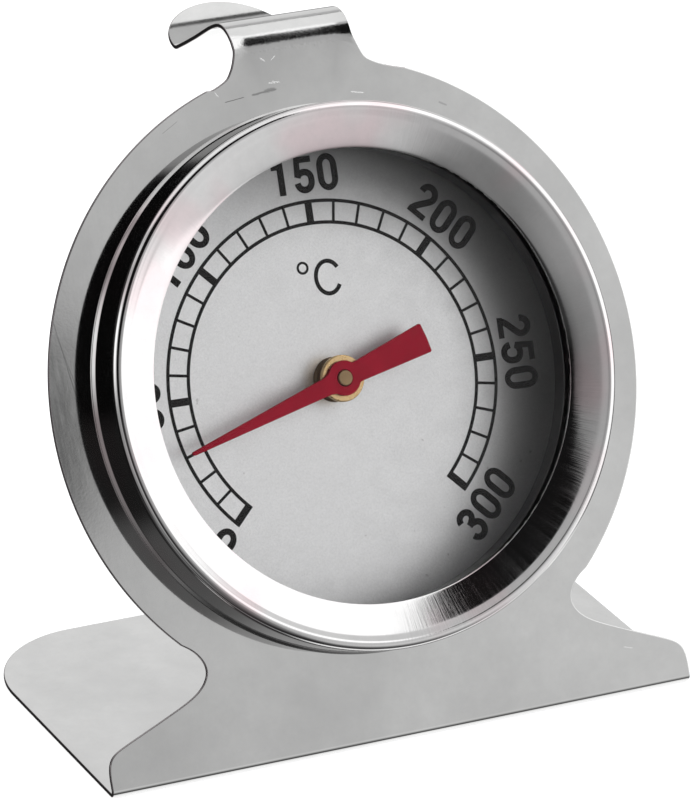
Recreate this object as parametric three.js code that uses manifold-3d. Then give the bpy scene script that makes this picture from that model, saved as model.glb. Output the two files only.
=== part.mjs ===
// Bimetal oven thermometer on a one-piece sheet stand with a rack hook.
// Units are millimetres. The model is laid out in the frame of the leaning
// plate (x to the right, y through the plate towards the back, z up along the
// plate, origin in the middle of the round plate) and then leaned back so that
// the foot lies flat on the ground: +Z up, the dial faces -Y.
import * as THREE from 'three';
import { mergeVertices } from 'three/addons/utils/BufferGeometryUtils.js';
import Module from 'manifold-3d';

const wasm = await Module();
wasm.setup();

// ---------------------------------------------------------------- dimensions
const LEAN = THREE.MathUtils.degToRad(25.3); // plate leans back from vertical
const SHEET = 0.4;            // stand sheet thickness
const DISC_R = 30.5;          // round plate radius
const DISC_X = 0.1;           // the round plate's offset from the dial axis
const FOOT_HALF_W = 30.6;     // half width of the foot and of the leg corners
const FOOT_CORNER_Z = -34.66; // sharp outer corner of plate front and foot bottom
const FOOT_DEPTH = 34.1;      // from that corner to the rear edge, along the foot
const FOOT_REAR_R = 10.5;     // rear corner radius of the foot
const FOOT_BEND_R = 0.6;      // outer bend radius
const HOOK_X = 0.22;          // middle of the hook strip
const HOOK_HALF_W = 6.2;      // half width of the hook strip
const HOOK_BEND_R = 2.9;      // inner radius of the roll at the top
const HOOK_BEND_Z = 32.1;     // height where the roll starts
const HOOK_VALLEY = [13.9, 33.84]; // underside at the low point, [y, z]
const HOOK_RISE = THREE.MathUtils.degToRad(40); // slope of the end tongue
const CASE_Z = 0.22;          // middle of the case above the plate's middle
const PLATE_HOLE_R = 24.6;
const CUP_R = 24.3;           // case wall that fills the plate's hole
const CUP_REAR_R = 22.0;      // case wall behind the dial shoulder
const CUP_SHEET = 0.5;
const CUP_BACK_Y = 10.0;      // outer face of the case back
const SHOULDER_Y = 3.9;       // seat of the dial
const BEZEL_R = 25.95;        // outside of the rim
const BEZEL_FRONT_Y = -5.2;
const BEZEL_OPEN_R = 21.5;    // opening of the rim
const LENS_R = 25.1;
const LENS_Y = [-3.3, -2.3];
const SEAT_R = 21.8;          // inner wall of the ring between lens and dial
const DIAL_R = 23.5;
const DIAL_Y = [3.22, 3.62];
const POINTER_Y = [0.6, 1.0];
const POINTER_TIP_R = 17.2;
const POINTER_TAIL_R = 9.4;
const POINTER_ANGLE = THREE.MathUtils.degToRad(195.3); // at rest, from +x, anticlockwise from the front
const SPINDLE_R = 0.75;
const COIL = { r0: 2.6, r1: 9.4, turns: 5.5, t: 0.35, y: [4.7, 6.7] };
const POST_X = 17.5;          // the two posts between case back and dial
const BRIDGE_HALF_W = 3.5;
const VENTS = 6;
const SEG = 60;               // facets round the case

// ------------------------------------------------------------------- helpers
// A closed body: position only, shared vertices merged, faces pointing out.
function solid(geometry) {
  const g = geometry.clone();
  for (const name of Object.keys(g.attributes)) if (name !== 'position') g.deleteAttribute(name);
  g.clearGroups();
  const m = mergeVertices(g, 1e-4);
  const p = m.attributes.position;
  const index = [];
  let volume = 0;
  const a = new THREE.Vector3(), b = new THREE.Vector3(), c = new THREE.Vector3();
  for (let i = 0; i < m.index.count; i += 3) {
    const t = [m.index.getX(i), m.index.getX(i + 1), m.index.getX(i + 2)];
    if (t[0] === t[1] || t[1] === t[2] || t[0] === t[2]) continue;
    a.fromBufferAttribute(p, t[0]); b.fromBufferAttribute(p, t[1]); c.fromBufferAttribute(p, t[2]);
    volume += a.dot(b.cross(c));
    index.push(...t);
  }
  if (volume < 0) for (let i = 0; i < index.length; i += 3) [index[i], index[i + 1]] = [index[i + 1], index[i]];
  m.setIndex(index);
  return m;
}
const toManifold = (geometry) => {
  const g = solid(geometry);
  return new wasm.Manifold(new wasm.Mesh({
    numProp: 3,
    vertProperties: new Float32Array(g.attributes.position.array),
    triVerts: new Uint32Array(g.index.array),
  }));
};
const fromManifold = (m) => {
  const mesh = m.getMesh();
  const g = new THREE.BufferGeometry();
  g.setAttribute('position', new THREE.BufferAttribute(new Float32Array(mesh.vertProperties), 3));
  g.setIndex(Array.from(mesh.triVerts));
  return g;
};
const cut = (base, ...tools) => tools.reduce((m, t) => m.subtract(toManifold(t)), toManifold(base));

// Outline in the plate's plane, [x, z] points, as thick as y0 to y1.
function slab(outline, y0, y1, holes = []) {
  const shape = outline instanceof THREE.Shape ? outline : new THREE.Shape(outline.map(([x, z]) => new THREE.Vector2(x, z)));
  holes.forEach((h) => shape.holes.push(h));
  return new THREE.ExtrudeGeometry(shape, { depth: y1 - y0, bevelEnabled: false, curveSegments: 12 })
    .rotateX(Math.PI / 2).translate(0, y1, 0);
}
// Section in the side view, [y, z] points, swept along x.
function sideExtrusion(section, x0, x1) {
  const shape = new THREE.Shape(section.map(([y, z]) => new THREE.Vector2(y, z)));
  const basis = new THREE.Matrix4().makeBasis(new THREE.Vector3(0, 1, 0), new THREE.Vector3(0, 0, 1), new THREE.Vector3(1, 0, 0));
  return new THREE.ExtrudeGeometry(shape, { depth: x1 - x0, bevelEnabled: false }).applyMatrix4(basis).translate(x0, 0, 0);
}
// Turned part about the dial's axis, [radius, y] points.
const turned = (profile, seg = SEG) => solid(new THREE.LatheGeometry(profile.map(([r, y]) => new THREE.Vector2(r, y)), seg));
const ringOf = (r0, r1, y0, y1, seg = SEG) => turned([[r0, y0], [r1, y0], [r1, y1], [r0, y1], [r0, y0]], seg);
const rod = (r, y0, y1, seg = 24) => new THREE.CylinderGeometry(r, r, y1 - y0, seg).translate(0, (y0 + y1) / 2, 0);

function arc(cy, cz, r, a0, a1, n) {
  const pts = [];
  for (let i = 0; i <= n; i++) {
    const a = a0 + ((a1 - a0) * i) / n;
    pts.push([cy + r * Math.cos(a), cz + r * Math.sin(a)]);
  }
  return pts;
}
// A strip of sheet in the side view: its inner face is given, the outer face
// lies one sheet thickness to the left of the direction of travel.
function strip(inner, t) {
  const outer = inner.map((p, i) => {
    const q = inner[Math.max(i - 1, 0)], s = inner[Math.min(i + 1, inner.length - 1)];
    const n = (u, v) => { const l = Math.hypot(v[0] - u[0], v[1] - u[1]); return [-(v[1] - u[1]) / l, (v[0] - u[0]) / l]; };
    const n0 = i > 0 ? n(q, p) : n(p, s), n1 = i < inner.length - 1 ? n(p, s) : n0;
    const b = [n0[0] + n1[0], n0[1] + n1[1]];
    const k = (2 * t) / (b[0] * b[0] + b[1] * b[1]);
    return [p[0] + b[0] * k, p[1] + b[1] * k];
  });
  return [...inner, ...outer.reverse()];
}

// ------------------------------------------------------------------ the stand
const S = Math.sin(LEAN), C = Math.cos(LEAN);
const footBend = [FOOT_BEND_R, FOOT_CORNER_Z + (FOOT_BEND_R * (1 + S)) / C];
const onFoot = (d, h) => [d * C - h * S, FOOT_CORNER_Z + d * S + h * C];

// Half outline of the plate on its right side, from the foot bend to the hook.
const leg = [
  [30.6, -32.62], [30.55, -32.0], [30.42, -31.3], [30.1, -30.7], [29.3, -30.12], [27.0, -29.2], [24.5, -28.2],
  [22.0, -27.15], [20.75, -26.45], [19.95, -25.6], [19.55, -24.7], [19.6, -23.8], [19.98, -23.0], [20.55, -22.35], [21.6, -21.53],
];
const neck = [[9.3, 29.05], [8.0, 29.45], [7.15, 29.97], [6.7, 30.75], [6.4, 31.4], [HOOK_HALF_W, 31.8], [HOOK_HALF_W, 31.88]];
const discShift = (z) => DISC_X * Math.min(1, Math.max(0, (z + 28) / 6));
const plateOutline = () => {
  const side = (m) => {
    const out = leg.map(([x, z]) => [m * x + discShift(z), z]);
    const a0 = Math.atan2(-21.53, 21.6), a1 = Math.atan2(29.05, 9.3 + m * (HOOK_X - DISC_X));
    for (let i = 0; i <= 34; i++) out.push([m * DISC_R * Math.cos(a0 + ((a1 - a0) * i) / 34) + DISC_X, DISC_R * Math.sin(a0 + ((a1 - a0) * i) / 34)]);
    neck.slice(1).forEach(([x, z]) => out.push([m * x + HOOK_X, z]));
    return out;
  };
  return [...side(1), ...side(-1).reverse()];
};

// Foot: flat sheet under the plate, rounded at its rear corners, and its bend.
const footInner = [
  onFoot(FOOT_DEPTH, SHEET),
  ...arc(footBend[0], footBend[1], FOOT_BEND_R - SHEET, -Math.PI / 2 + LEAN, -Math.PI, 6),
  [SHEET, -32.5],
];
const footStrip = strip(footInner, SHEET);
const footShape = new THREE.Shape();
footShape.moveTo(-FOOT_HALF_W - 0.01, -6);
footShape.lineTo(FOOT_HALF_W + 0.01, -6);
footShape.lineTo(FOOT_HALF_W + 0.01, FOOT_DEPTH - FOOT_REAR_R);
footShape.absarc(FOOT_HALF_W + 0.01 - FOOT_REAR_R, FOOT_DEPTH - FOOT_REAR_R, FOOT_REAR_R, 0, Math.PI / 2, false);
footShape.absarc(-FOOT_HALF_W - 0.01 + FOOT_REAR_R, FOOT_DEPTH - FOOT_REAR_R, FOOT_REAR_R, Math.PI / 2, Math.PI, false);
footShape.closePath();
const footMask = new THREE.ExtrudeGeometry(footShape, { depth: 14, bevelEnabled: false, curveSegments: 10 })
  .translate(0, 0, -4)
  .applyMatrix4(new THREE.Matrix4().makeBasis(new THREE.Vector3(1, 0, 0), new THREE.Vector3(0, C, S), new THREE.Vector3(0, -S, C)))
  .translate(0, 0, FOOT_CORNER_Z);
const foot = toManifold(sideExtrusion(footStrip, -FOOT_HALF_W, FOOT_HALF_W)).intersect(toManifold(footMask));

// Hook: strip rolled back over the top, gently falling, then a tongue that
// rises at its end as a lead-in for a rack wire.
const rollY = SHEET + HOOK_BEND_R;
const tongue = [Math.cos(HOOK_RISE), Math.sin(HOOK_RISE)];
const hookInner = [
  [SHEET, 31.5],
  ...arc(rollY, HOOK_BEND_Z, HOOK_BEND_R, Math.PI, Math.PI / 2, 8),
  [4.8, 34.92], [6.7, 34.67], [8.95, 34.3], [11.2, 34.0], [12.8, 33.85], [13.4, 33.8], [HOOK_VALLEY[0], HOOK_VALLEY[1]], [14.5, 34.14], [15.1, 34.58],
  [HOOK_VALLEY[0] + 0.2 + tongue[0] * HOOK_HALF_W, HOOK_VALLEY[1] - 0.1 + tongue[1] * HOOK_HALF_W],
];
const hookShape = new THREE.Shape();
hookShape.moveTo(HOOK_HALF_W + 0.01, -16);
hookShape.lineTo(HOOK_HALF_W + 0.01, 0);
hookShape.absarc(0, 0, HOOK_HALF_W + 0.01, 0, Math.PI, false);
hookShape.lineTo(-HOOK_HALF_W - 0.01, -16);
hookShape.closePath();
const hookMask = new THREE.ExtrudeGeometry(hookShape, { depth: 18, bevelEnabled: false, curveSegments: 18 })
  .translate(0, 0, -4)
  .applyMatrix4(new THREE.Matrix4().makeBasis(new THREE.Vector3(1, 0, 0), new THREE.Vector3(0, tongue[0], tongue[1]), new THREE.Vector3(0, -tongue[1], tongue[0])))
  .translate(HOOK_X, HOOK_VALLEY[0] + 0.2, HOOK_VALLEY[1] - 0.1);
const hook = toManifold(sideExtrusion(strip(hookInner, SHEET), HOOK_X - HOOK_HALF_W, HOOK_X + HOOK_HALF_W)).intersect(toManifold(hookMask));

const standGeometry = fromManifold(
  toManifold(slab(plateOutline(), 0, SHEET)).add(foot).add(hook)
    .subtract(toManifold(new THREE.CylinderGeometry(PLATE_HOLE_R, PLATE_HOLE_R, 4, SEG).translate(0, 0.3, CASE_Z))),
);

// ------------------------------------------------------------------- the case
// Cup with a front flange, a wall through the plate's hole, a shoulder that
// seats the dial, and a back with vent slots and two rivet holes.
const t = CUP_SHEET;
const cup = turned([
  [0, CUP_BACK_Y - t], [CUP_REAR_R - 1.0, CUP_BACK_Y - t], [CUP_REAR_R - t, CUP_BACK_Y - 1.0], [CUP_REAR_R - t, SHOULDER_Y], [CUP_R - t, SHOULDER_Y],
  [CUP_R - t, -0.8], [25.0, -0.8], [25.0, -0.3], [CUP_R, -0.3], [CUP_R, SHOULDER_Y + 0.05], [CUP_R - 0.45, SHOULDER_Y + t],
  [CUP_REAR_R, SHOULDER_Y + t], [CUP_REAR_R, CUP_BACK_Y - 0.8], [CUP_REAR_R - 0.8, CUP_BACK_Y], [0, CUP_BACK_Y],
]);
const ventShape = (mid) => {
  const half = THREE.MathUtils.degToRad(16), s = new THREE.Shape(), at = (r, a) => [r * Math.cos(a), r * Math.sin(a)];
  s.moveTo(...at(10.6, mid - half));
  s.absarc(0, 0, 12.6, mid - half, mid + half, false);
  s.absarc(...at(11.6, mid + half), 1.0, mid + half, mid + half + Math.PI, false);
  s.absarc(0, 0, 10.6, mid + half, mid - half, true);
  s.absarc(...at(11.6, mid - half), 1.0, mid - half + Math.PI, mid - half + 2 * Math.PI, false);
  return s;
};
const vents = Array.from({ length: VENTS }, (_, i) => new THREE.ExtrudeGeometry(ventShape(THREE.MathUtils.degToRad(30 + (360 / VENTS) * i)), { depth: 2, bevelEnabled: false, curveSegments: 5 })
  .rotateX(Math.PI / 2).translate(0, CUP_BACK_Y + 0.8, 0));
const rivetHoles = [-1, 1].map((s) => rod(1.3, CUP_BACK_Y - 2, CUP_BACK_Y + 2, 16).translate(s * POST_X, 0, 0));
const cupGeometry = fromManifold(cut(cup, ...vents, ...rivetHoles));

// Rim: beaded lower edge, straight skirt, rounded front, cone in to the opening.
const bezelGeometry = turned([
  [25.35, -0.6], [25.55, -0.36], [25.85, -0.3], [26.15, -0.44], [26.3, -0.8], [26.2, -1.14], [BEZEL_R, -1.32],
  [BEZEL_R, -4.45], [25.9, -4.8], [25.75, -5.05], [25.45, BEZEL_FRONT_Y], [25.1, -5.15],
  [BEZEL_OPEN_R + 0.05, -4.05], [BEZEL_OPEN_R, -3.85], [BEZEL_OPEN_R + 0.1, -3.6],
  [25.05, -4.65], [25.35, -4.55], [25.5, -4.3], [25.5, -1.1], [25.35, -0.6],
]);
const lensGeometry = turned([[0, LENS_Y[0]], [LENS_R, LENS_Y[0]], [LENS_R, LENS_Y[1]], [0, LENS_Y[1]]]);
// Ring between lens and cup flange, with a collar that hides the dial's rim.
const seatGeometry = turned([[SEAT_R, -2.0], [25.1, -2.0], [25.1, -1.1], [SEAT_R + 0.6, -1.1], [SEAT_R + 0.6, 0.1], [SEAT_R, 0.1], [SEAT_R, -2.0]]);
const clampGeometry = ringOf(CUP_R + 0.3, 26.2, SHEET + 0.3, 2.1);

// --------------------------------------------------------------- the movement
const dialGeometry = ringOf(1.9, DIAL_R, DIAL_Y[0], DIAL_Y[1]);
const frontBushGeometry = turned([[1.0, 2.72], [2.5, 2.72], [2.5, 3.17], [1.6, 3.17], [1.6, 4.4], [1.0, 4.4], [1.0, 2.72]], 28);
const collarGeometry = ringOf(0.95, 2.25, POINTER_Y[1] + 0.05, 2.55, 28);
const spindleGeometry = rod(SPINDLE_R, -0.1, 8.95, 20);
const colletGeometry = ringOf(1.0, 2.0, 4.6, 6.8, 24);
const clipGeometry = ringOf(0.9, 1.7, 8.45, 8.75, 20);
const rearBushGeometry = turned([[1.05, 7.0], [1.9, 7.0], [1.9, 7.85], [2.8, 7.85], [2.8, 8.3], [1.05, 8.3], [1.05, 7.0]], 24);

// Pointer: round hub, needle to one side, tail widening to a flat end.
const pointerShape = new THREE.Shape();
{
  const hub = 1.65, dirs = [0.225, 0.85, 1.0, 1.45];
  pointerShape.moveTo(POINTER_TIP_R, -dirs[0]);
  pointerShape.lineTo(POINTER_TIP_R, dirs[0]);
  pointerShape.lineTo(1.45, dirs[1]);
  pointerShape.absarc(0, 0, hub, Math.atan2(dirs[1], 1.45), Math.PI - Math.atan2(dirs[2], 1.3), false);
  pointerShape.lineTo(-POINTER_TAIL_R, dirs[3]);
  pointerShape.lineTo(-POINTER_TAIL_R, -dirs[3]);
  pointerShape.lineTo(-1.3, -dirs[2]);
  pointerShape.absarc(0, 0, hub, Math.PI + Math.atan2(dirs[2], 1.3), 2 * Math.PI - Math.atan2(dirs[1], 1.45), false);
  pointerShape.closePath();
  const bore = new THREE.Path();
  bore.absarc(0, 0, 0.9, 0, 2 * Math.PI, true);
  pointerShape.holes.push(bore);
}
const pointerGeometry = slab(pointerShape, POINTER_Y[0], POINTER_Y[1]).rotateY(-POINTER_ANGLE);

// Bimetal strip wound as a flat spiral on edge, its outer end at the anchor.
const coilOutline = (() => {
  const n = Math.round(COIL.turns * 20), outer = [], inner = [];
  for (let i = 0; i <= n; i++) {
    const a = -2 * Math.PI * COIL.turns * (1 - i / n), r = COIL.r0 + ((COIL.r1 - COIL.r0) * i) / n;
    outer.push([(r + COIL.t / 2) * Math.cos(a), (r + COIL.t / 2) * Math.sin(a)]);
    inner.push([(r - COIL.t / 2) * Math.cos(a), (r - COIL.t / 2) * Math.sin(a)]);
  }
  return [...outer, ...inner.reverse()];
})();
const coilGeometry = slab(coilOutline, COIL.y[0], COIL.y[1]);

const ANCHOR_X = COIL.r1 + COIL.t / 2 + 0.3 + 0.9;
const anchorGeometry = fromManifold(cut(new THREE.BoxGeometry(1.8, 2.3, 2.6).translate(ANCHOR_X, 5.75, 0), rod(0.75, 5.4, 7.4, 14).translate(ANCHOR_X, 0, 0)));
const anchorRivetGeometry = turned([[0, 5.8], [0.5, 5.8], [0.5, 7.85], [1.15, 7.85], [1.0, 8.25], [0, 8.35]], 16).translate(ANCHOR_X, 0, 0);

// Bridge: hat-shaped strip, its two feet held between posts and case back.
const bridgeSection = [
  [-20.2, 9.2], [-20.2, 8.6], [-14.6, 8.6], [-13.2, 7.2], [13.2, 7.2], [14.6, 8.6], [20.2, 8.6], [20.2, 9.2],
  [14.35, 9.2], [12.95, 7.8], [-12.95, 7.8], [-14.35, 9.2],
];
const bridgeBase = new THREE.ExtrudeGeometry(new THREE.Shape(bridgeSection.map(([x, y]) => new THREE.Vector2(x, y))), { depth: 2 * BRIDGE_HALF_W, bevelEnabled: false }).translate(0, 0, -BRIDGE_HALF_W);
const bridgeGeometry = fromManifold(cut(bridgeBase, rod(2.2, 6, 9, 24), rod(1.3, 8, 10, 16).translate(POST_X, 0, 0), rod(1.3, 8, 10, 16).translate(-POST_X, 0, 0), rod(0.8, 6, 9, 14).translate(ANCHOR_X, 0, 0)));
const postGeometry = (s) => turned([[0, DIAL_Y[1] + 0.3], [1.8, DIAL_Y[1] + 0.3], [1.8, 8.3], [1.3, 8.3], [1.3, 6.4], [0, 6.4]], 20).translate(s * POST_X, 0, 0);
const rivetGeometry = (s) => turned([[0, 6.8], [1.0, 6.8], [1.0, CUP_BACK_Y + 0.3], [2.3, CUP_BACK_Y + 0.3], [2.0, CUP_BACK_Y + 0.75], [1.1, CUP_BACK_Y + 1.0], [0, CUP_BACK_Y + 1.05]], 20).translate(s * POST_X, 0, 0);

// ------------------------------------------------------------------- materials
const STAINLESS = { color: 0xbcbcb9, roughness: 0.24, metalness: 1 };
const POLISHED = { color: 0xd2cfd0, roughness: 0.12, metalness: 1 };
const CASE_STEEL = { color: 0xb4b4b2, roughness: 0.3, metalness: 1 };
const DIAL_FACE = { color: 0xcbcac8, roughness: 0.55, metalness: 0.7 };
const RED = { color: 0x8c192d, roughness: 0.5, metalness: 0 };
const BRASS = { color: 0xc8965a, roughness: 0.3, metalness: 1 };
const MOVEMENT_STEEL = { color: 0x9a9a98, roughness: 0.4, metalness: 1 };
const BIMETAL = { color: 0xa09684, roughness: 0.35, metalness: 1 };
const GLASS = { color: 0xf2f6f4, roughness: 0.03, metalness: 0, transparent: true, opacity: 0.25 };

const part = (name, geometry, look) => {
  const mesh = new THREE.Mesh(geometry, new THREE.MeshStandardMaterial(look));
  mesh.name = name;
  return mesh;
};

// -------------------------------------------------------------------- assembly
const plateFrame = new THREE.Group();
plateFrame.rotation.x = -LEAN;
plateFrame.add(part('stand_plate', solid(standGeometry), STAINLESS));

const dialAxis = new THREE.Group();
dialAxis.position.z = CASE_Z;
plateFrame.add(dialAxis);
dialAxis.add(
  part('case_cup', solid(cupGeometry), CASE_STEEL),
  part('bezel', bezelGeometry, POLISHED),
  part('lens', lensGeometry, GLASS),
  part('lens_seat_ring', seatGeometry, CASE_STEEL),
  part('clamp_ring', clampGeometry, STAINLESS),
  part('dial_plate', dialGeometry, DIAL_FACE),
  part('front_bush', frontBushGeometry, BRASS),
  part('movement_bridge', solid(bridgeGeometry), MOVEMENT_STEEL),
  part('rear_bush', rearBushGeometry, BRASS),
  part('coil_anchor', solid(anchorGeometry), MOVEMENT_STEEL),
  part('coil_anchor_rivet', anchorRivetGeometry, MOVEMENT_STEEL),
  part('bimetal_coil', solid(coilGeometry), BIMETAL),
  part('dial_post_left', postGeometry(-1), MOVEMENT_STEEL),
  part('dial_post_right', postGeometry(1), MOVEMENT_STEEL),
  part('back_rivet_left', rivetGeometry(-1), MOVEMENT_STEEL),
  part('back_rivet_right', rivetGeometry(1), MOVEMENT_STEEL),
);

// Everything that turns with the temperature.
const turning = new THREE.Group();
dialAxis.add(turning);
turning.add(
  part('pointer', solid(pointerGeometry), RED),
  part('pointer_collar', collarGeometry, BRASS),
  part('spindle', solid(spindleGeometry), BRASS),
  part('coil_collet', colletGeometry, BRASS),
  part('spindle_clip', clipGeometry, MOVEMENT_STEEL),
);

// Origin: on the ground under the middle of the whole object's box.
const thermometer = new THREE.Group();
thermometer.name = 'oven_thermometer';
thermometer.add(plateFrame);
thermometer.updateMatrixWorld(true);
const box = new THREE.Box3().setFromObject(thermometer, true);
plateFrame.position.set(-(box.min.x + box.max.x) / 2, -(box.min.y + box.max.y) / 2, -box.min.z);

export default thermometer;
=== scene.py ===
import math
import bpy
import numpy as np
from mathutils import Matrix, Vector
from mathutils.geometry import delaunay_2d_cdt


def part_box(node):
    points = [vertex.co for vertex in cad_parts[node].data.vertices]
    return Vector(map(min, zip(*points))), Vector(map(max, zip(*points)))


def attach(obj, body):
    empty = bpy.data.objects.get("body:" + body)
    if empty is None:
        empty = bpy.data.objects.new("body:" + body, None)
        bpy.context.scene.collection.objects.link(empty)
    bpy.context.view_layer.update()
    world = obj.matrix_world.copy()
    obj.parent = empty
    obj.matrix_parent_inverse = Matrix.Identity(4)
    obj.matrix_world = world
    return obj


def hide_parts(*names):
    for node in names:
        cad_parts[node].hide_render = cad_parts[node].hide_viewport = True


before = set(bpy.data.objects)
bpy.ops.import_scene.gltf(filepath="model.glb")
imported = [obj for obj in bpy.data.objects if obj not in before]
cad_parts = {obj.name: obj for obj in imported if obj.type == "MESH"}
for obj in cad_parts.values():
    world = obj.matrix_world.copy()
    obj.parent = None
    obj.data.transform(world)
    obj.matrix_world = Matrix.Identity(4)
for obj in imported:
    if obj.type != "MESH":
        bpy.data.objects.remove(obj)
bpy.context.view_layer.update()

# ------------------------------------------------------------------ dimensions
# Millimetres in the frame of the leaning plate: x right, y through the plate to
# the back, z up along it, origin in the middle of the round plate.
LEAN = math.radians(25.3)
S, C = math.sin(LEAN), math.cos(LEAN)
SHEET = 0.4
DISC_R, DISC_X = 30.5, 0.1
CASE_Z = 0.22
HOOK_X, HOOK_W = 0.22, 6.2
FOOT_W, FOOT_CORNER, FOOT_DEPTH, FOOT_R = 30.6, -34.66, 34.1, 10.5
BEND_O = 0.6
DIAL_FACE = 3.22
POINTER_ANGLE = math.radians(195.3)
COIL = dict(r0=2.6, r1=9.4, turns=5.5, t=0.35, y0=4.7, y1=6.7)
POST_X = 17.5

lo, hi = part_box("lens")
mid = (lo + hi) * 500.0
OY = mid.y - (-2.8 * C + CASE_Z * S)
OZ = mid.z - (2.8 * S + CASE_Z * C)


def to_world(p):
    """Plate frame in mm to the row frame in m. Works on an (n, 3) array."""
    p = np.atleast_2d(np.asarray(p, float))
    return np.c_[p[:, 0], p[:, 1] * C + p[:, 2] * S + OY, -p[:, 1] * S + p[:, 2] * C + OZ] / 1000.0


def turn_world(n):
    n = np.atleast_2d(np.asarray(n, float))
    return np.c_[n[:, 0], n[:, 1] * C + n[:, 2] * S, -n[:, 1] * S + n[:, 2] * C]


# --------------------------------------------------------------- mesh building
def build(name, verts, faces, normals=None, material=None, slot=None, body="case", replaces=(), extra=None):
    """One piece from plate-frame vertices, with its own vertex normals."""
    me = bpy.data.meshes.new(name)
    w = to_world(verts)
    me.from_pydata(w.tolist(), [], [list(map(int, f)) for f in faces])
    me.validate(clean_customdata=False)
    me.polygons.foreach_set("use_smooth", [True] * len(me.polygons))
    if extra is not None:
        for key, val in extra.items():
            val = np.asarray(val, np.float32)
            if val.ndim == 1:
                a = me.attributes.new(key, "FLOAT", "POINT")
                a.data.foreach_set("value", val)
            else:
                a = me.attributes.new(key, "FLOAT_VECTOR", "POINT")
                a.data.foreach_set("vector", val.ravel())
    me.update()
    if normals is not None:
        me.normals_split_custom_set_from_vertices([Vector(v) for v in turn_world(normals)])
    ob = bpy.data.objects.new(name, me)
    bpy.context.scene.collection.objects.link(ob)
    if material:
        me.materials.append(material)
    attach(ob, body)
    if replaces:
        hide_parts(*replaces)
    return ob


def rounded(points, n=4):
    """Closed profile [(a, b, radius)], anticlockwise or not, to points and outward normals."""
    P = np.array([(p[0], p[1]) for p in points], float)
    R = [p[2] if len(p) > 2 else 0.05 for p in points]
    area = 0.5 * np.sum(P[:, 0] * np.roll(P[:, 1], -1) - np.roll(P[:, 0], -1) * P[:, 1])
    if area < 0:
        P, R = P[::-1], R[::-1]
    out, nrm = [], []
    m = len(P)
    for i in range(m):
        a, p, b = P[i - 1], P[i], P[(i + 1) % m]
        d0, d1 = p - a, b - p
        l0, l1 = np.linalg.norm(d0), np.linalg.norm(d1)
        d0, d1 = d0 / l0, d1 / l1
        n0, n1 = np.array([d0[1], -d0[0]]), np.array([d1[1], -d1[0]])
        cr = d0[0] * d1[1] - d0[1] * d1[0]
        ang = math.atan2(cr, float(d0 @ d1))
        if R[i] == 0 or abs(ang) < 1e-3:
            q = n0 + n1
            out.append(p); nrm.append(q / np.linalg.norm(q)); continue
        k = min(R[i] * math.tan(abs(ang) / 2), 0.49 * l0, 0.49 * l1)
        r = k / math.tan(abs(ang) / 2)
        s, e = p - d0 * k, p + d1 * k
        side = 1 if ang > 0 else -1
        c = s - n0 * r * side
        steps = max(2, int(math.ceil(n * abs(ang) / (math.pi / 2))))
        a0 = math.atan2(n0[1], n0[0])
        for j in range(steps + 1):
            t = a0 + ang * j / steps
            v = np.array([math.cos(t), math.sin(t)])
            out.append(c + v * r * side); nrm.append(v)
    return np.array(out), np.array(nrm)


def lathe_arrays(profile, normals, seg, cx=0.0, cz=CASE_Z, closed=True, start=0):
    th = np.linspace(0, 2 * math.pi, seg, endpoint=False)
    n = len(profile)
    v, nn, pol = [], [], []
    for (r, y), (nr, ny) in zip(profile, normals):
        v.append(np.c_[cx + r * np.cos(th), np.full(seg, y), cz + r * np.sin(th)])
        nn.append(np.c_[nr * np.cos(th), np.full(seg, ny), nr * np.sin(th)])
    v, nn = np.concatenate(v), np.concatenate(nn)
    faces = []
    for i in range(n if closed else n - 1):
        i2 = (i + 1) % n
        for j in range(seg):
            j2 = (j + 1) % seg
            faces.append((start + i * seg + j, start + i * seg + j2, start + i2 * seg + j2, start + i2 * seg + j))
    return v, faces, nn


def orient(verts, faces):
    """Faces point out: flips them all if the enclosed volume is negative."""
    V = np.asarray(verts)
    vol = 0.0
    for f in faces:
        a = V[f[0]]
        for k in range(1, len(f) - 1):
            vol += a @ np.cross(V[f[k]], V[f[k + 1]])
    return [tuple(reversed(f)) for f in faces] if vol < 0 else faces


def lathe(name, points, seg=160, n=4, cx=0.0, cz=CASE_Z, **kw):
    """Turned ring from a closed profile of (radius, y, fillet)."""
    p, q = rounded(points, n)
    v, f, nn = lathe_arrays(p, q, seg, cx, cz)
    return build(name, v, orient(v, f), nn, **kw)


def solid_turned(name, points, seg=64, n=4, cx=0.0, cz=CASE_Z, **kw):
    """Turned body whose open profile (radius, y, fillet) starts and ends on the axis."""
    pts = list(points)
    mirror = [(-a[0],) + tuple(a[1:]) for a in reversed(pts)]
    full = pts + [m for m in mirror if abs(m[0]) > 1e-9]
    p, q = rounded(full, n)
    keep = [(i, a, b) for i, (a, b) in enumerate(zip(p, q)) if a[0] > 1e-6]
    i0 = next(k for k in range(len(p)) if p[k][0] > 1e-6 and p[k - 1][0] <= 1e-6)
    order = [(i0 + k) % len(p) for k in range(len(p)) if p[(i0 + k) % len(p)][0] > 1e-6]
    prof, nor = p[order], q[order]
    v, f, nn = lathe_arrays(prof, nor, seg, cx, cz, closed=False)
    ya, yb = prof[0][1], prof[-1][1]
    v = np.vstack([v, [cx, ya, cz], [cx, yb, cz]])
    sa = 1.0 if ya > yb else -1.0
    nn = np.vstack([nn, [0, sa, 0], [0, -sa, 0]])
    ia, ib = len(v) - 2, len(v) - 1
    last = (len(prof) - 1) * seg
    for j in range(seg):
        j2 = (j + 1) % seg
        f.append((ia, j2, j))
        f.append((ib, last + j, last + j2))
    return build(name, v, orient(v, f), nn, **kw)


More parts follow.
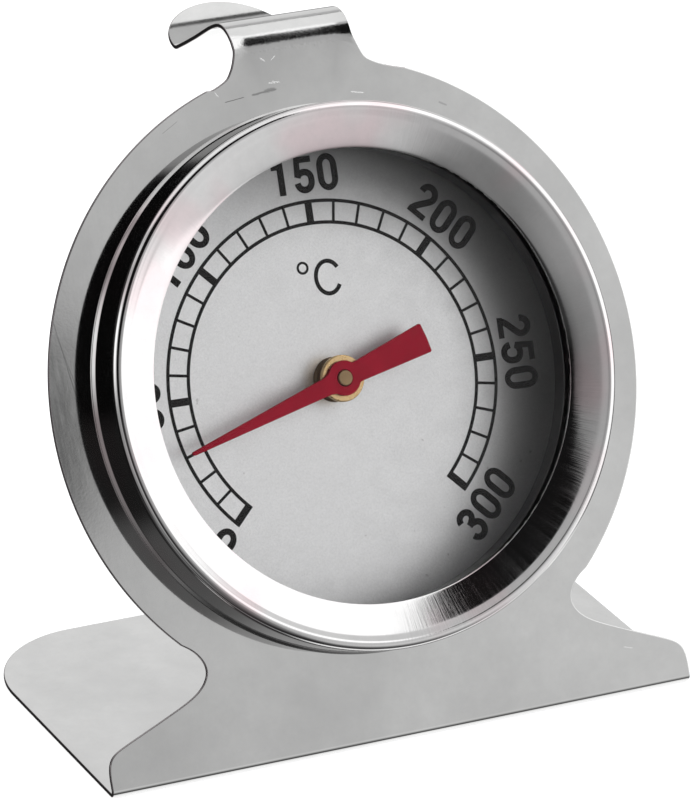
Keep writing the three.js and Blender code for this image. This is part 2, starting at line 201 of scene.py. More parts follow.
def inside(pts, loop):
    """Even-odd test of (n, 2) points against a closed loop."""
    x, y = pts[:, 0], pts[:, 1]
    a, b = np.asarray(loop), np.roll(np.asarray(loop), -1, axis=0)
    res = np.zeros(len(pts), bool)
    for (x0, y0), (x1, y1) in zip(a, b):
        if y0 == y1:
            continue
        hit = (y0 > y) != (y1 > y)
        xi = x0 + (y - y0) * (x1 - x0) / (y1 - y0)
        res ^= hit & (x < xi)
    return res


def winding(pts, loop):
    """Points of (n, 2) that a closed loop goes around at least once, also where it overlaps itself."""
    x, y = pts[:, 0], pts[:, 1]
    turns = np.zeros(len(pts), int)
    a, b = np.asarray(loop), np.roll(np.asarray(loop), -1, axis=0)
    for (x0, y0), (x1, y1) in zip(a, b):
        if y0 == y1:
            continue
        hit = (y0 > y) != (y1 > y)
        left = x < x0 + (y - y0) * (x1 - x0) / (y1 - y0)
        turns += np.where(hit & left, 1 if y1 > y0 else -1, 0)
    return turns != 0


def loop_normals(P):
    """Outward normals of an anticlockwise loop, at its points."""
    P = np.asarray(P, float)
    d = np.roll(P, -1, axis=0) - P
    d /= np.linalg.norm(d, axis=1)[:, None] + 1e-12
    n = np.c_[d[:, 1], -d[:, 0]]
    q = n + np.roll(n, 1, axis=0)
    return q / np.linalg.norm(q, axis=1)[:, None]


def ccw(P, yes=True):
    P = np.asarray(P, float)
    a = np.sum(P[:, 0] * np.roll(P[:, 1], -1) - np.roll(P[:, 0], -1) * P[:, 1])
    return P if (a > 0) == yes else P[::-1]


def sheet(loops, thick, place, cuts=(), edge=0.1, n=3, extra=None, data=False):
    """A bent sheet. loops: outer loop first, then holes, in the flat (u, s) plane. place(u, s) gives middle-surface
    points, normals and s-tangents. cuts are s values where the bends need their own row of points. Returns verts, faces, normals."""
    L1, NN = [], []
    for i, lp in enumerate(loops):
        lp = ccw(lp, i == 0)
        nrm = loop_normals(lp)
        L1.append(lp - nrm * edge); NN.append(nrm)
    L2, N2 = [], []
    for lp, nrm in zip(L1, NN):
        P, Q = [], []
        for k in range(len(lp)):
            a, b = lp[k], lp[(k + 1) % len(lp)]
            na, nb = nrm[k], nrm[(k + 1) % len(lp)]
            P.append(a); Q.append(na)
            ts = sorted((c - a[1]) / (b[1] - a[1]) for c in cuts if b[1] != a[1] and 1e-4 < (c - a[1]) / (b[1] - a[1]) < 1 - 1e-4)
            for t in ts:
                P.append(a + (b - a) * t); q = na + (nb - na) * t; Q.append(q / np.linalg.norm(q))
        P, Q = np.array(P), np.array(Q)
        for c in cuts:
            near = np.abs(P[:, 1] - c) < 2e-4
            P[near, 1] = c
        L2.append(P); N2.append(Q)
    pts = np.concatenate(L2); nrm = np.concatenate(N2)
    off = np.cumsum([0] + [len(p) for p in L2])
    edges = []
    for i, p in enumerate(L2):
        edges += [(off[i] + k, off[i] + (k + 1) % len(p)) for k in range(len(p))]
    for c in cuts:
        on = np.where(np.abs(pts[:, 1] - c) < 1e-6)[0]
        on = on[np.argsort(pts[on, 0])]
        for a, b in zip(on[:-1], on[1:]):
            m = (pts[a] + pts[b])[None] / 2
            ok = inside(m + [[0, 1e-5]], L2[0]) & inside(m - [[0, 1e-5]], L2[0])
            if ok[0] and not any(inside(m, h)[0] for h in L2[1:]):
                edges.append((int(a), int(b)))
    if extra is not None:
        pts = np.vstack([pts, extra])
    res = delaunay_2d_cdt([Vector(p) for p in pts], edges, [], 0, 1e-7)
    vco = np.array([(v.x, v.y) for v in res[0]])
    tri = np.array([f for f in res[2]])
    orig = res[3]
    index = {}
    for new, olds in enumerate(orig):
        for o in olds:
            index[o] = new
    cen = vco[tri].mean(1)
    keep = inside(cen, L2[0])
    for h in L2[1:]:
        keep &= ~inside(cen, h)
    tri = tri[keep]
    used = np.unique(tri)
    remap = -np.ones(len(vco), int); remap[used] = np.arange(len(used))
    vco, tri = vco[used], remap[tri]
    m = len(vco)
    p0, N, T = place(vco[:, 0], vco[:, 1])
    V = [p0 + N * thick / 2, p0 - N * thick / 2]
    NO = [N, -N]
    FL = [np.c_[vco, np.zeros(m)]] * 2
    area2 = (vco[tri[:, 1]] - vco[tri[:, 0]])
    b2 = (vco[tri[:, 2]] - vco[tri[:, 0]])
    flip = (area2[:, 0] * b2[:, 1] - area2[:, 1] * b2[:, 0]) < 0
    tri[flip] = tri[flip][:, ::-1]
    faces = [tuple(t) for t in tri] + [tuple((t + m)[::-1]) for t in tri]
    base = 2 * m
    rows = [(math.radians(90 * j / n), 1) for j in range(1, n + 1)] + [(math.radians(90 * j / n), -1) for j in range(n, 0, -1)]
    for i, (P, Q) in enumerate(zip(L2, N2)):
        ids = [remap[index[off[i] + k]] for k in range(len(P))]
        pm, Nm, Tm = place(P[:, 0], P[:, 1])
        X = np.array([1.0, 0, 0])
        E = Q[:, :1] * X + Q[:, 1:] * Tm
        ring = [np.array(ids)]
        for ph, sg in rows:
            h = sg * (thick / 2 - edge * (1 - math.cos(ph)))
            V.append(pm + E * edge * math.sin(ph) + Nm * h)
            NO.append(E * math.sin(ph) + Nm * sg * math.cos(ph))
            # the third value marks the rounded edge, zero where it faces right; the stand paints shade on these edges
            # with it
            FL.append(np.c_[P, np.full(len(P), math.sin(ph)) * np.where(Q[:, 0] < 0.35, 1.0, 0.0)])
            ring.append(base + np.arange(len(P))); base += len(P)
        ring.append(np.array(ids) + m)
        for a, b in zip(ring[:-1], ring[1:]):
            for k in range(len(P)):
                k2 = (k + 1) % len(P)
                faces.append((int(a[k]), int(b[k]), int(b[k2]), int(a[k2])))
    if data:
        return np.concatenate(V), faces, np.concatenate(NO), np.concatenate(FL)
    return np.concatenate(V), faces, np.concatenate(NO)


def chaikin(P, times=2):
    P = np.asarray(P, float)
    for _ in range(times):
        q = [P[0]]
        for a, b in zip(P[:-1], P[1:]):
            q += [0.75 * a + 0.25 * b, 0.25 * a + 0.75 * b]
        q.append(P[-1]); P = np.array(q)
    return P


def arc2(cx, cy, r, a0, a1, n, ry=None):
    t = np.radians(np.linspace(a0, a1, n))
    return np.c_[cx + r * np.cos(t), cy + (ry or r) * np.sin(t)]


# ------------------------------------------------------------------- materials
def material(name, color, metallic=0.0, rough=0.5, **kw):
    m = bpy.data.materials.new(name)
    m.use_nodes = True
    nt = m.node_tree
    b = nt.nodes["Principled BSDF"]
    b.inputs["Base Color"].default_value = (*color, 1)
    b.inputs["Metallic"].default_value = metallic
    b.inputs["Roughness"].default_value = rough
    for k, v in kw.items():
        b.inputs[k.replace("_", " ")].default_value = v
    return m, nt, b


def node(nt, kind, **vals):
    n = nt.nodes.new(kind)
    for k, v in vals.items():
        if k.startswith("in_"):
            key = k[3:]
            key = int(key) if key.isdigit() else key.replace("_", " ")
            n.inputs[key].default_value = v
        else:
            setattr(n, k, v)
    return n


def link(nt, a, b):
    nt.links.new(a, b)


def object_coords(nt, scale=(1, 1, 1), rotate=(0, 0, 0), shift=(0, 0, 0)):
    tc = node(nt, "ShaderNodeTexCoord")
    mp = node(nt, "ShaderNodeMapping")
    mp.inputs["Scale"].default_value = scale
    mp.inputs["Rotation"].default_value = rotate
    mp.inputs["Location"].default_value = shift
    link(nt, tc.outputs["Object"], mp.inputs["Vector"])
    return mp.outputs["Vector"]


def noise(nt, vec, scale, detail=3.0, rough=0.5):
    n = node(nt, "ShaderNodeTexNoise")
    n.inputs["Scale"].default_value = scale
    n.inputs["Detail"].default_value = detail
    n.inputs["Roughness"].default_value = rough
    link(nt, vec, n.inputs["Vector"])
    return n.outputs["Fac"]


def remap(nt, val, a, b, c, d, kind="LINEAR"):
    n = node(nt, "ShaderNodeMapRange", interpolation_type=kind)
    for i, v in zip((1, 2, 3, 4), (a, b, c, d)):
        n.inputs[i].default_value = v
    link(nt, val, n.inputs[0])
    return n.outputs[0]


def math_node(nt, op, a, b=None, c=None):
    n = node(nt, "ShaderNodeMath", operation=op)
    for i, v in enumerate((a, b, c)):
        if v is None:
            continue
        if isinstance(v, (int, float)):
            n.inputs[i].default_value = v
        else:
            link(nt, v, n.inputs[i])
    return n.outputs[0]


def mix_color(nt, fac, a, b, mode="MIX"):
    n = node(nt, "ShaderNodeMix", data_type="RGBA", blend_type=mode)
    for sock, v in ((n.inputs[0], fac), (n.inputs[6], a), (n.inputs[7], b)):
        if isinstance(v, (int, float)):
            sock.default_value = v
        elif isinstance(v, tuple):
            sock.default_value = v
        else:
            link(nt, v, sock)
    return n.outputs[2]


def bump(nt, bsdf, height, strength, dist):
    n = node(nt, "ShaderNodeBump")
    n.inputs["Strength"].default_value = strength
    n.inputs["Distance"].default_value = dist
    link(nt, height, n.inputs["Height"])
    link(nt, n.outputs["Normal"], bsdf.inputs["Normal"])
    return n


def stainless(name, color, rough, grain=(40, 900, 900), spots=0.0, bump_h=0.000004, tint=None):
    m, nt, b = material(name, color, 1.0, rough)
    v = object_coords(nt, grain)
    g = noise(nt, v, 1.0, 4.0, 0.6)
    cloud = noise(nt, object_coords(nt, (1, 1, 1)), 90.0, 4.0, 0.6)
    fine = noise(nt, object_coords(nt, (1, 1, 1)), 900.0, 3.0, 0.6)
    base = mix_color(nt, remap(nt, cloud, 0.3, 0.7, 0.0, 1.0), tuple(c * 0.95 for c in color) + (1,), tuple(min(1, c * 1.05) for c in color) + (1,))
    if tint:
        patch = noise(nt, object_coords(nt, (1, 1, 1), shift=(0.3, 0.1, 0.2)), 70.0, 2.0, 0.5)
        base = mix_color(nt, remap(nt, patch, 0.48, 0.68, 0.0, 0.8, "SMOOTHSTEP"), base, tint + (1,))
    link(nt, base, b.inputs["Base Color"])
    r = math_node(nt, "ADD", remap(nt, g, 0.3, 0.7, rough * 0.8, rough * 1.2), remap(nt, cloud, 0.35, 0.75, -0.02, 0.04))
    r = math_node(nt, "ADD", r, remap(nt, fine, 0.55, 0.75, 0.0, spots))
    link(nt, r, b.inputs["Roughness"])
    bump(nt, b, g, 0.35, bump_h)
    return m


MAT = {}
def make_stand():
    color = (0.66, 0.66, 0.655)
    m, nt, b = material("stand_stainless", color, 1.0, 0.08)
    at = node(nt, "ShaderNodeAttribute", attribute_name="flat")
    sp = node(nt, "ShaderNodeSeparateXYZ")
    link(nt, at.outputs["Vector"], sp.inputs[0])
    U, W, EDGE = sp.outputs[0], sp.outputs[1], sp.outputs[2]
    cloud = noise(nt, object_coords(nt), 75.0, 5.0, 0.62)
    fine = noise(nt, object_coords(nt), 520.0, 4.0, 0.65)
    grain = noise(nt, object_coords(nt, (2600, 300, 300)), 1.0, 3.0, 0.6)
    base = mix_color(nt, remap(nt, cloud, 0.32, 0.68, 0.0, 1.0), (0.60, 0.60, 0.596, 1), (0.715, 0.715, 0.71, 1))
    base = mix_color(nt, remap(nt, fine, 0.3, 0.7, 0.0, 0.28), base, (0.56, 0.56, 0.56, 1))
    # handling marks: each is a short line on the flat sheet, from (u, s) to (u, s)
    marks_dark, marks_light = None, None
    rough_up = None
    for (x0, y0, x1, y1, w_, amt, kind) in (
            (-7.75, 27.66, -5.75, 27.9, 0.045, 0.85, "d"), (-4.9, 27.98, -2.3, 28.17, 0.11, 0.6, "d"), (-3.6, 28.1, -2.4, 28.2, 0.2, 0.5, "d"),
            (-3.42, 31.33, -3.0, 30.95, 0.07, 0.9, "l"), (-1.85, 31.33, -2.36, 30.95, 0.05, 0.8, "l"), (-3.0, 28.86, -2.3, 28.8, 0.06, 1.0, "l"),
            (-2.6, 28.98, -1.85, 28.78, 0.05, 1.0, "l"), (5.3, 26.88, 6.6, 26.6, 0.06, 0.9, "l"), (-8.62, 28.75, -8.36, 28.27, 0.06, 0.8, "l"),
            (-28.9, 12.0, -27.6, 3.0, 0.07, 0.35, "d"), (-28.6, 9.0, -26.9, 1.5, 0.05, 0.3, "d"), (-14.6, 25.7, -12.9, 26.6, 0.04, 0.35, "d"),
            (14.2, 24.6, 15.0, 24.2, 0.12, 0.3, "d"), (24.0, -29.9, 24.9, -30.2, 0.06, 0.4, "l")):
        L_ = math.hypot(x1 - x0, y1 - y0); dx, dy = (x1 - x0) / L_, (y1 - y0) / L_
        mx_, my_ = (x0 + x1) / 2, (y0 + y1) / 2
        a1 = math_node(nt, "ADD", math_node(nt, "MULTIPLY", U, dx), math_node(nt, "MULTIPLY_ADD", W, dy, -(mx_ * dx + my_ * dy)))
        a2 = math_node(nt, "ADD", math_node(nt, "MULTIPLY", U, -dy), math_node(nt, "MULTIPLY_ADD", W, dx, -(-mx_ * dy + my_ * dx)))
        wob = math_node(nt, "MULTIPLY_ADD", fine, w_ * 3, -w_ * 1.5)
        a2 = math_node(nt, "ABSOLUTE", math_node(nt, "ADD", a2, wob))
        a1 = math_node(nt, "ABSOLUTE", a1)
        mask = math_node(nt, "MULTIPLY", remap(nt, a1, L_ / 2 - 0.12, L_ / 2 + 0.1, amt, 0.0, "SMOOTHSTEP"), remap(nt, a2, w_ * 0.3, w_ * 1.3, 1.0, 0.0, "SMOOTHSTEP"))
        if kind == "d":
            marks_dark = mask if marks_dark is None else math_node(nt, "MAXIMUM", marks_dark, mask)
        else:
            marks_light = mask if marks_light is None else math_node(nt, "MAXIMUM", marks_light, mask)
    base = mix_color(nt, marks_dark, base, (0.16, 0.16, 0.16, 1))
    base = mix_color(nt, marks_light, base, (1.0, 1.0, 1.0, 1))
    # painted shade: the rounded sheet edges that don't face right are darkened, standing in for the dark surroundings
    # they show
    base = mix_color(nt, remap(nt, EDGE, 0.1, 0.6, 0.0, 0.95), base, (0.30, 0.265, 0.275, 1))
    base = mix_color(nt, remap(nt, EDGE, 0.93, 1.0, 0.0, 1.0), base, (0.36, 0.34, 0.345, 1))
    link(nt, base, b.inputs["Base Color"])
    r = math_node(nt, "ADD", remap(nt, grain, 0.3, 0.7, 0.035, 0.06), remap(nt, cloud, 0.35, 0.75, -0.005, 0.02))
    r = math_node(nt, "ADD", r, math_node(nt, "MULTIPLY", EDGE, 0.3))
    r = math_node(nt, "ADD", r, math_node(nt, "MULTIPLY", marks_light, 0.45))
    r = math_node(nt, "ADD", r, math_node(nt, "MULTIPLY", remap(nt, W, 31.6, 32.6, 0.0, 0.07, "SMOOTHSTEP"), remap(nt, W, 35.0, 36.0, 1.0, 0.0)))
    link(nt, r, b.inputs["Roughness"])
    # the bent hook shows an orange-peel texture that the flat sheet hardly has
    peel = noise(nt, object_coords(nt), 3800.0, 3.0, 0.6)
    hgt = math_node(nt, "MULTIPLY", peel, math_node(nt, "MULTIPLY", remap(nt, W, 31.4, 32.2, 0.05, 1.0, "SMOOTHSTEP"), remap(nt, W, 35.0, 37.0, 1.0, 0.08)))
    bump(nt, b, hgt, 1.0, 0.0000075)
    return m


MAT["stand"] = make_stand()
MAT["case"] = stainless("case_stainless", (0.60, 0.60, 0.59), 0.24, grain=(500, 500, 500), spots=0.05)
# painted shade: near-black steel for the seat ring and the cup's inner wall, standing in for the shade under the rim
MAT["dark_case"] = stainless("seat_ring_painted_shade", (0.13, 0.13, 0.13), 0.42, grain=(500, 500, 500))
MAT["case_in"] = stainless("case_steel_inside", (0.42, 0.42, 0.42), 0.40, grain=(500, 500, 500))
MAT["move"] = stainless("movement_steel", (0.50, 0.50, 0.49), 0.33, grain=(500, 500, 500))
MAT["bimetal"] = stainless("bimetal_strip", (0.52, 0.46, 0.38), 0.30, grain=(500, 500, 500))


def make_rim():
    color = (0.69, 0.685, 0.685)
    m, nt, b = material("rim_polished", color, 1.0, 0.07)
    at = node(nt, "ShaderNodeAttribute", attribute_name="turn")
    ang = at.outputs["Vector"]
    # fine lines that run across the cone, from the spinning and polishing of the rim; they are strong on its lower right
    def lines_at(scale, tw):
        mp = node(nt, "ShaderNodeMapping")
        mp.inputs["Scale"].default_value = scale
        mp.inputs["Rotation"].default_value = (0, 0, tw)
        link(nt, ang, mp.inputs["Vector"])
        return noise(nt, mp.outputs["Vector"], 1.0, 3.0, 0.65)
    lines = lines_at((6400, 6400, 150), 0.35)
    wide = lines_at((1500, 1500, 45), 0.7)
    sep = node(nt, "ShaderNodeSeparateXYZ")
    link(nt, ang, sep.inputs[0])
    low_right = math_node(nt, "SUBTRACT", math_node(nt, "MULTIPLY", sep.outputs[0], 0.72), math_node(nt, "MULTIPLY", sep.outputs[1], 0.69))
    brushed = remap(nt, low_right, 0.012, 0.019, 0.0, 1.0, "SMOOTHSTEP")
    up_left = remap(nt, low_right, -0.010, -0.020, 0.0, 1.0, "SMOOTHSTEP")
    cloud = noise(nt, object_coords(nt), 110.0, 3.0, 0.6)
    scuff = noise(nt, object_coords(nt), 620.0, 4.0, 0.7)
    patch = noise(nt, object_coords(nt, shift=(0.31, 0.12, 0.2)), 95.0, 2.0, 0.5)
    base = mix_color(nt, remap(nt, patch, 0.46, 0.66, 0.0, 0.75, "SMOOTHSTEP"), (*color, 1), (0.73, 0.60, 0.62, 1))
    base = mix_color(nt, remap(nt, scuff, 0.4, 0.75, 0.0, 0.2), base, (0.5, 0.5, 0.5, 1))
    # painted shade: the outer wall's colour is darkened, standing in for the dark reflection and shade it shows
    wall = math_node(nt, "MULTIPLY", remap(nt, sep.outputs[2], 0.02586, 0.02592, 0.0, 0.6), remap(nt, sep.outputs[2], 0.025953, 0.02597, 1.0, 0.0))
    base = mix_color(nt, wall, base, (0.03, 0.025, 0.025, 1))
    link(nt, base, b.inputs["Base Color"])
    r = math_node(nt, "ADD", remap(nt, lines, 0.3, 0.75, 0.04, 0.09), remap(nt, cloud, 0.35, 0.75, -0.01, 0.03))
    r = math_node(nt, "ADD", r, math_node(nt, "MULTIPLY", brushed, remap(nt, math_node(nt, "MULTIPLY", lines, wide), 0.18, 0.38, 0.0, 0.055)))
    r = math_node(nt, "ADD", r, math_node(nt, "MULTIPLY", up_left, remap(nt, scuff, 0.5, 0.7, 0.0, 0.04)))
    link(nt, r, b.inputs["Roughness"])
    h = math_node(nt, "MULTIPLY", lines, remap(nt, brushed, 0, 1, 0.25, 0.8))
    bump(nt, b, h, 1.0, 0.000006)
    return m


MAT["rim"] = make_rim()


def make_dial():
    m, nt, b = material("dial_satin", (0.90, 0.90, 0.90), 0.93, 0.42)
    g = noise(nt, object_coords(nt), 5200.0, 3.0, 0.7)
    g2 = noise(nt, object_coords(nt), 600.0, 3.0, 0.6)
    specks = noise(nt, object_coords(nt, shift=(0.1, 0, 0)), 1500.0, 1.0, 0.5)
    base = mix_color(nt, remap(nt, g, 0.3, 0.7, 0, 1), (0.84, 0.84, 0.845, 1), (0.97, 0.97, 0.975, 1))
    base = mix_color(nt, remap(nt, specks, 0.78, 0.83, 0, 0.35), base, (0.3, 0.28, 0.28, 1))
    # painted shade: the satin face's colour is darkened towards its upper right edge, where the rim's wall shades it
    at = node(nt, "ShaderNodeAttribute", attribute_name="flat")
    sp = node(nt, "ShaderNodeSeparateXYZ")
    link(nt, at.outputs["Vector"], sp.inputs[0])
    du, dz = sp.outputs[0], math_node(nt, "SUBTRACT", sp.outputs[1], CASE_Z)
    rr_ = math_node(nt, "SQRT", math_node(nt, "ADD", math_node(nt, "MULTIPLY", du, du), math_node(nt, "MULTIPLY", dz, dz)))
    toward = math_node(nt, "DIVIDE", math_node(nt, "ADD", math_node(nt, "MULTIPLY", du, 0.80), math_node(nt, "MULTIPLY", dz, 0.60)), math_node(nt, "MAXIMUM", rr_, 1.0))
    shade = math_node(nt, "MULTIPLY", remap(nt, toward, -0.25, 0.7, 0.0, 0.58), remap(nt, rr_, 12.2, 20.2, 0.0, 1.0, "SMOOTHSTEP"))
    base = mix_color(nt, shade, base, (0.02, 0.02, 0.02, 1))
    link(nt, base, b.inputs["Base Color"])
    link(nt, remap(nt, g2, 0.3, 0.7, 0.39, 0.46), b.inputs["Roughness"])
    bump(nt, b, g, 0.5, 0.000008)
    return m


MAT["dial"] = make_dial()


def make_ink():
    m, nt, b = material("dial_ink", (0.008, 0.007, 0.007), 0.0, 0.5, Specular_IOR_Level=0.12)
    g = noise(nt, object_coords(nt), 2600.0, 3.0, 0.6)
    link(nt, mix_color(nt, remap(nt, g, 0.35, 0.7, 0, 1), (0.006, 0.005, 0.0055, 1), (0.012, 0.011, 0.0115, 1)), b.inputs["Base Color"])
    link(nt, remap(nt, g, 0.3, 0.7, 0.42, 0.6), b.inputs["Roughness"])
    bump(nt, b, g, 0.3, 0.000004)
    return m


MAT["ink"] = make_ink()


def make_red():
    m, nt, b = material("pointer_red", (0.24, 0.004, 0.018), 0.0, 0.5, Specular_IOR_Level=0.04)
    g = noise(nt, object_coords(nt), 700.0, 3.0, 0.6)
    f = noise(nt, object_coords(nt), 2800.0, 2.0, 0.6)
    link(nt, mix_color(nt, remap(nt, g, 0.35, 0.7, 0, 1), (0.205, 0.0022, 0.013, 1), (0.25, 0.0035, 0.017, 1)), b.inputs["Base Color"])
    link(nt, remap(nt, g, 0.3, 0.7, 0.36, 0.5), b.inputs["Roughness"])
    bump(nt, b, f, 0.25, 0.000006)
    return m


MAT["red"] = make_red()


def make_brass():
    m, nt, b = material("brass_turned", (0.80, 0.56, 0.28), 1.0, 0.25)
    g = noise(nt, object_coords(nt), 900.0, 3.0, 0.6)
    link(nt, mix_color(nt, remap(nt, g, 0.35, 0.7, 0, 1), (0.74, 0.50, 0.24, 1), (0.86, 0.62, 0.33, 1)), b.inputs["Base Color"])
    link(nt, remap(nt, g, 0.3, 0.7, 0.18, 0.36), b.inputs["Roughness"])
    bump(nt, b, g, 0.3, 0.000006)
    return m


MAT["brass"] = make_brass()
MAT["shaft_brass"] = stainless("shaft_brass_dull", (0.36, 0.245, 0.135), 0.42, grain=(700, 700, 700), spots=0.05)
# painted shade: the front bush is near-black brass, standing in for the shade beside the collar
MAT["bush_brass"] = stainless("bush_brass_painted_shade", (0.17, 0.11, 0.06), 0.45, grain=(700, 700, 700))


def make_glass():
    m = bpy.data.materials.new("lens_glass")
    m.use_nodes = True
    nt = m.node_tree
    nt.nodes.clear()
    out = node(nt, "ShaderNodeOutputMaterial")
    tr = node(nt, "ShaderNodeBsdfTransparent")
    tr.inputs[0].default_value = (0.985, 0.985, 0.985, 1)
    gl = node(nt, "ShaderNodeBsdfGlossy")
    gl.inputs["Roughness"].default_value = 0.02
    fr = node(nt, "ShaderNodeFresnel")
    fr.inputs["IOR"].default_value = 1.45
    sm = noise(nt, object_coords(nt), 60.0, 3.0, 0.6)
    link(nt, remap(nt, sm, 0.3, 0.8, 0.01, 0.05), gl.inputs["Roughness"])
    mx = node(nt, "ShaderNodeMixShader")
    link(nt, math_node(nt, "MULTIPLY", fr.outputs[0], 0.3), mx.inputs[0])
    link(nt, tr.outputs[0], mx.inputs[1])
    link(nt, gl.outputs[0], mx.inputs[2])
    link(nt, mx.outputs[0], out.inputs[0])
    return m


MAT["glass"] = make_glass()


# ------------------------------------------------------------------- the stand
class Path:
    """Middle line of the bent sheet in the side view, made of straights and arcs. s equals z on the leaning plate."""

    def __init__(self, s0, y, z, heading, parts):
        self.seg = []
        s, h = s0, heading
        for length, turn in parts:
            self.seg.append((s, length, y, z, h, turn))
            if abs(turn) < 1e-9:
                y, z = y + length * math.cos(h), z + length * math.sin(h)
            else:
                r = length / turn
                y, z = y + r * (math.sin(h + turn) - math.sin(h)), z - r * (math.cos(h + turn) - math.cos(h))
            h += turn; s += length
        self.end = s

    def __call__(self, u, s):
        u, s = np.asarray(u, float), np.asarray(s, float)
        P, N, T = np.zeros((len(s), 3)), np.zeros((len(s), 3)), np.zeros((len(s), 3))
        starts = np.array([g[0] for g in self.seg])
        k = np.clip(np.searchsorted(starts, s + 1e-9, side="right") - 1, 0, len(self.seg) - 1)
        for i, (s0, length, y, z, h, turn) in enumerate(self.seg):
            on = k == i
            if not on.any():
                continue
            d = s[on] - s0
            a = h + (turn * d / length if length else 0)
            if abs(turn) < 1e-9:
                yy, zz = y + d * math.cos(h), z + d * math.sin(h)
            else:
                r = length / turn
                yy, zz = y + r * (np.sin(a) - math.sin(h)), z - r * (np.cos(a) - math.cos(h))
            a = a * np.ones(on.sum())
            P[on] = np.c_[u[on], yy * np.ones(on.sum()), zz * np.ones(on.sum())]
            N[on] = np.c_[np.zeros(on.sum()), -np.sin(a), np.cos(a)]
            T[on] = np.c_[np.zeros(on.sum()), np.cos(a), np.sin(a)]
        return P, N, T

    def rows(self, per=8.0):
        out = []
        for s0, length, y, z, h, turn in self.seg:
            if abs(turn) > 1e-9:
                n = max(3, int(math.ceil(math.degrees(abs(turn)) / per)))
                out += [s0 + length * j / n for j in range(n + 1)]
        return sorted(set(round(v, 5) for v in out))


bend_z = FOOT_CORNER + BEND_O * (1 + S) / C
rm = BEND_O - SHEET / 2
bend_turn = math.pi / 2 + LEAN
foot_tangent = BEND_O / math.tan((math.pi / 2 - LEAN) / 2)
foot_len = FOOT_DEPTH - foot_tangent
arc_len = rm * bend_turn
s_foot = bend_z - arc_len - foot_len
fy = FOOT_DEPTH * C - S * SHEET / 2
fz = FOOT_CORNER + FOOT_DEPTH * S + C * SHEET / 2
RISE = math.radians(40)
s_roll, roll_len = 32.0, 3.1 * math.pi / 2
fall_a, fall_b = math.radians(8.6), math.radians(4.4)
valley = fall_a - fall_b + math.radians(34)
stand_path = Path(s_foot, fy, fz, math.pi + LEAN, [
    (foot_len, 0), (arc_len, -bend_turn), (s_roll - bend_z, 0), (roll_len, -math.pi / 2),
    (2.6, -fall_a), (7.42, fall_b), (1.15 * valley, valley), (12.0, math.radians(21))])
s_end = s_roll + roll_len + 10.02 + valley / 2 + 0.2

leg = [(FOOT_W, s_foot + FOOT_R + 0.2), (FOOT_W, -34.5), (30.6, -32.62), (30.55, -31.9), (30.4, -31.25), (30.05, -30.65), (29.3, -30.13), (27.0, -29.2), (24.5, -28.2),
       (22.0, -27.15), (20.68, -26.45), (19.78, -25.65), (19.30, -24.72), (19.38, -23.82), (19.86, -22.98), (20.5, -22.3), (21.45, -21.68)]
smooth_leg = np.vstack([leg[:2], chaikin(leg[2:], 3)])
a0 = math.degrees(math.atan2(-20.9, 22.21))
necks = {}
for side, nk in ((1, [(11.0, None), (9.9, 28.68), (9.07, 28.95), (7.95, 29.42), (7.1, 29.97), (6.72, 30.88), (6.44, 31.68), (6.24, 32.25), (HOOK_W, 32.7)]),
                 (-1, [(9.6, None), (9.0, 28.97), (7.98, 29.42), (7.3, 29.81), (6.95, 30.32), (6.64, 30.85), (6.36, 31.56), (6.18, 32.29), (HOOK_W, 32.7)])):
    nk[0] = (nk[0][0], math.sqrt(DISC_R ** 2 - (nk[0][0] + (HOOK_X - DISC_X) * side) ** 2))
    necks[side] = chaikin(nk, 3)
shift = lambda z: DISC_X * min(1.0, max(0.0, (z + 28) / 6))


def flank(side):
    """One side of the flat outline, from the foot up to the end of the hook's straight part. side is 1 or -1."""
    a1 = math.degrees(math.atan2(necks[side][0][1], necks[side][0][0] + (HOOK_X - DISC_X) * side))
    out = [(side * p[0] + shift(p[1]), p[1]) for p in smooth_leg]
    out += [(side * p[0] + DISC_X, p[1]) for p in arc2(0, 0, DISC_R, a0, a1, 150)]
    return out + [(side * p[0] + HOOK_X, p[1]) for p in necks[side][1:]]


right, left = flank(1), flank(-1)
tongue = [tuple(p) for p in arc2(HOOK_X, s_end, HOOK_W, 0, 180, 60)]
rear_r = [tuple(p) for p in arc2(FOOT_W - FOOT_R, s_foot + FOOT_R, FOOT_R, -90, 0, 24)]
rear_l = [tuple(p) for p in arc2(-FOOT_W + FOOT_R, s_foot + FOOT_R, FOOT_R, 180, 270, 24)]
outline = rear_r + right + tongue + left[::-1] + rear_l
hole = arc2(0, CASE_Z, 24.6, 0, 360, 161)[:-1]
bend_rows = [r_ for r_ in stand_path.rows(7.0) if s_roll - 0.01 < r_ < s_roll + roll_len + 0.01]
crown = [(HOOK_X + u_, r_) for r_ in bend_rows for u_ in (-5.4, -4.6, -1.0, 2.6, 4.6, 5.5)]
belled = []
for u_, s_ in outline:
    wide_ = min(1.0, max(0.0, (s_ - 32.9) / 3.0)) * min(1.0, max(0.0, (47.0 - s_) / 6.0))
    belled.append((u_ + (0.62 if u_ > HOOK_X else -0.12) * wide_ * (abs(u_ - HOOK_X) / HOOK_W) * (s_ > 32.9), s_))
outline = belled
v, f, n, flat_uv = sheet([outline, hole], SHEET, stand_path, cuts=sorted(set(stand_path.rows(7.0) + [bend_z + q_ for q_ in (0.25, 0.5, 0.75, 1.0, 1.3)] + [s_roll + roll_len + q_ for q_ in (1.2, 5.0, 9.0)])), edge=0.11, n=3, extra=crown, data=True)
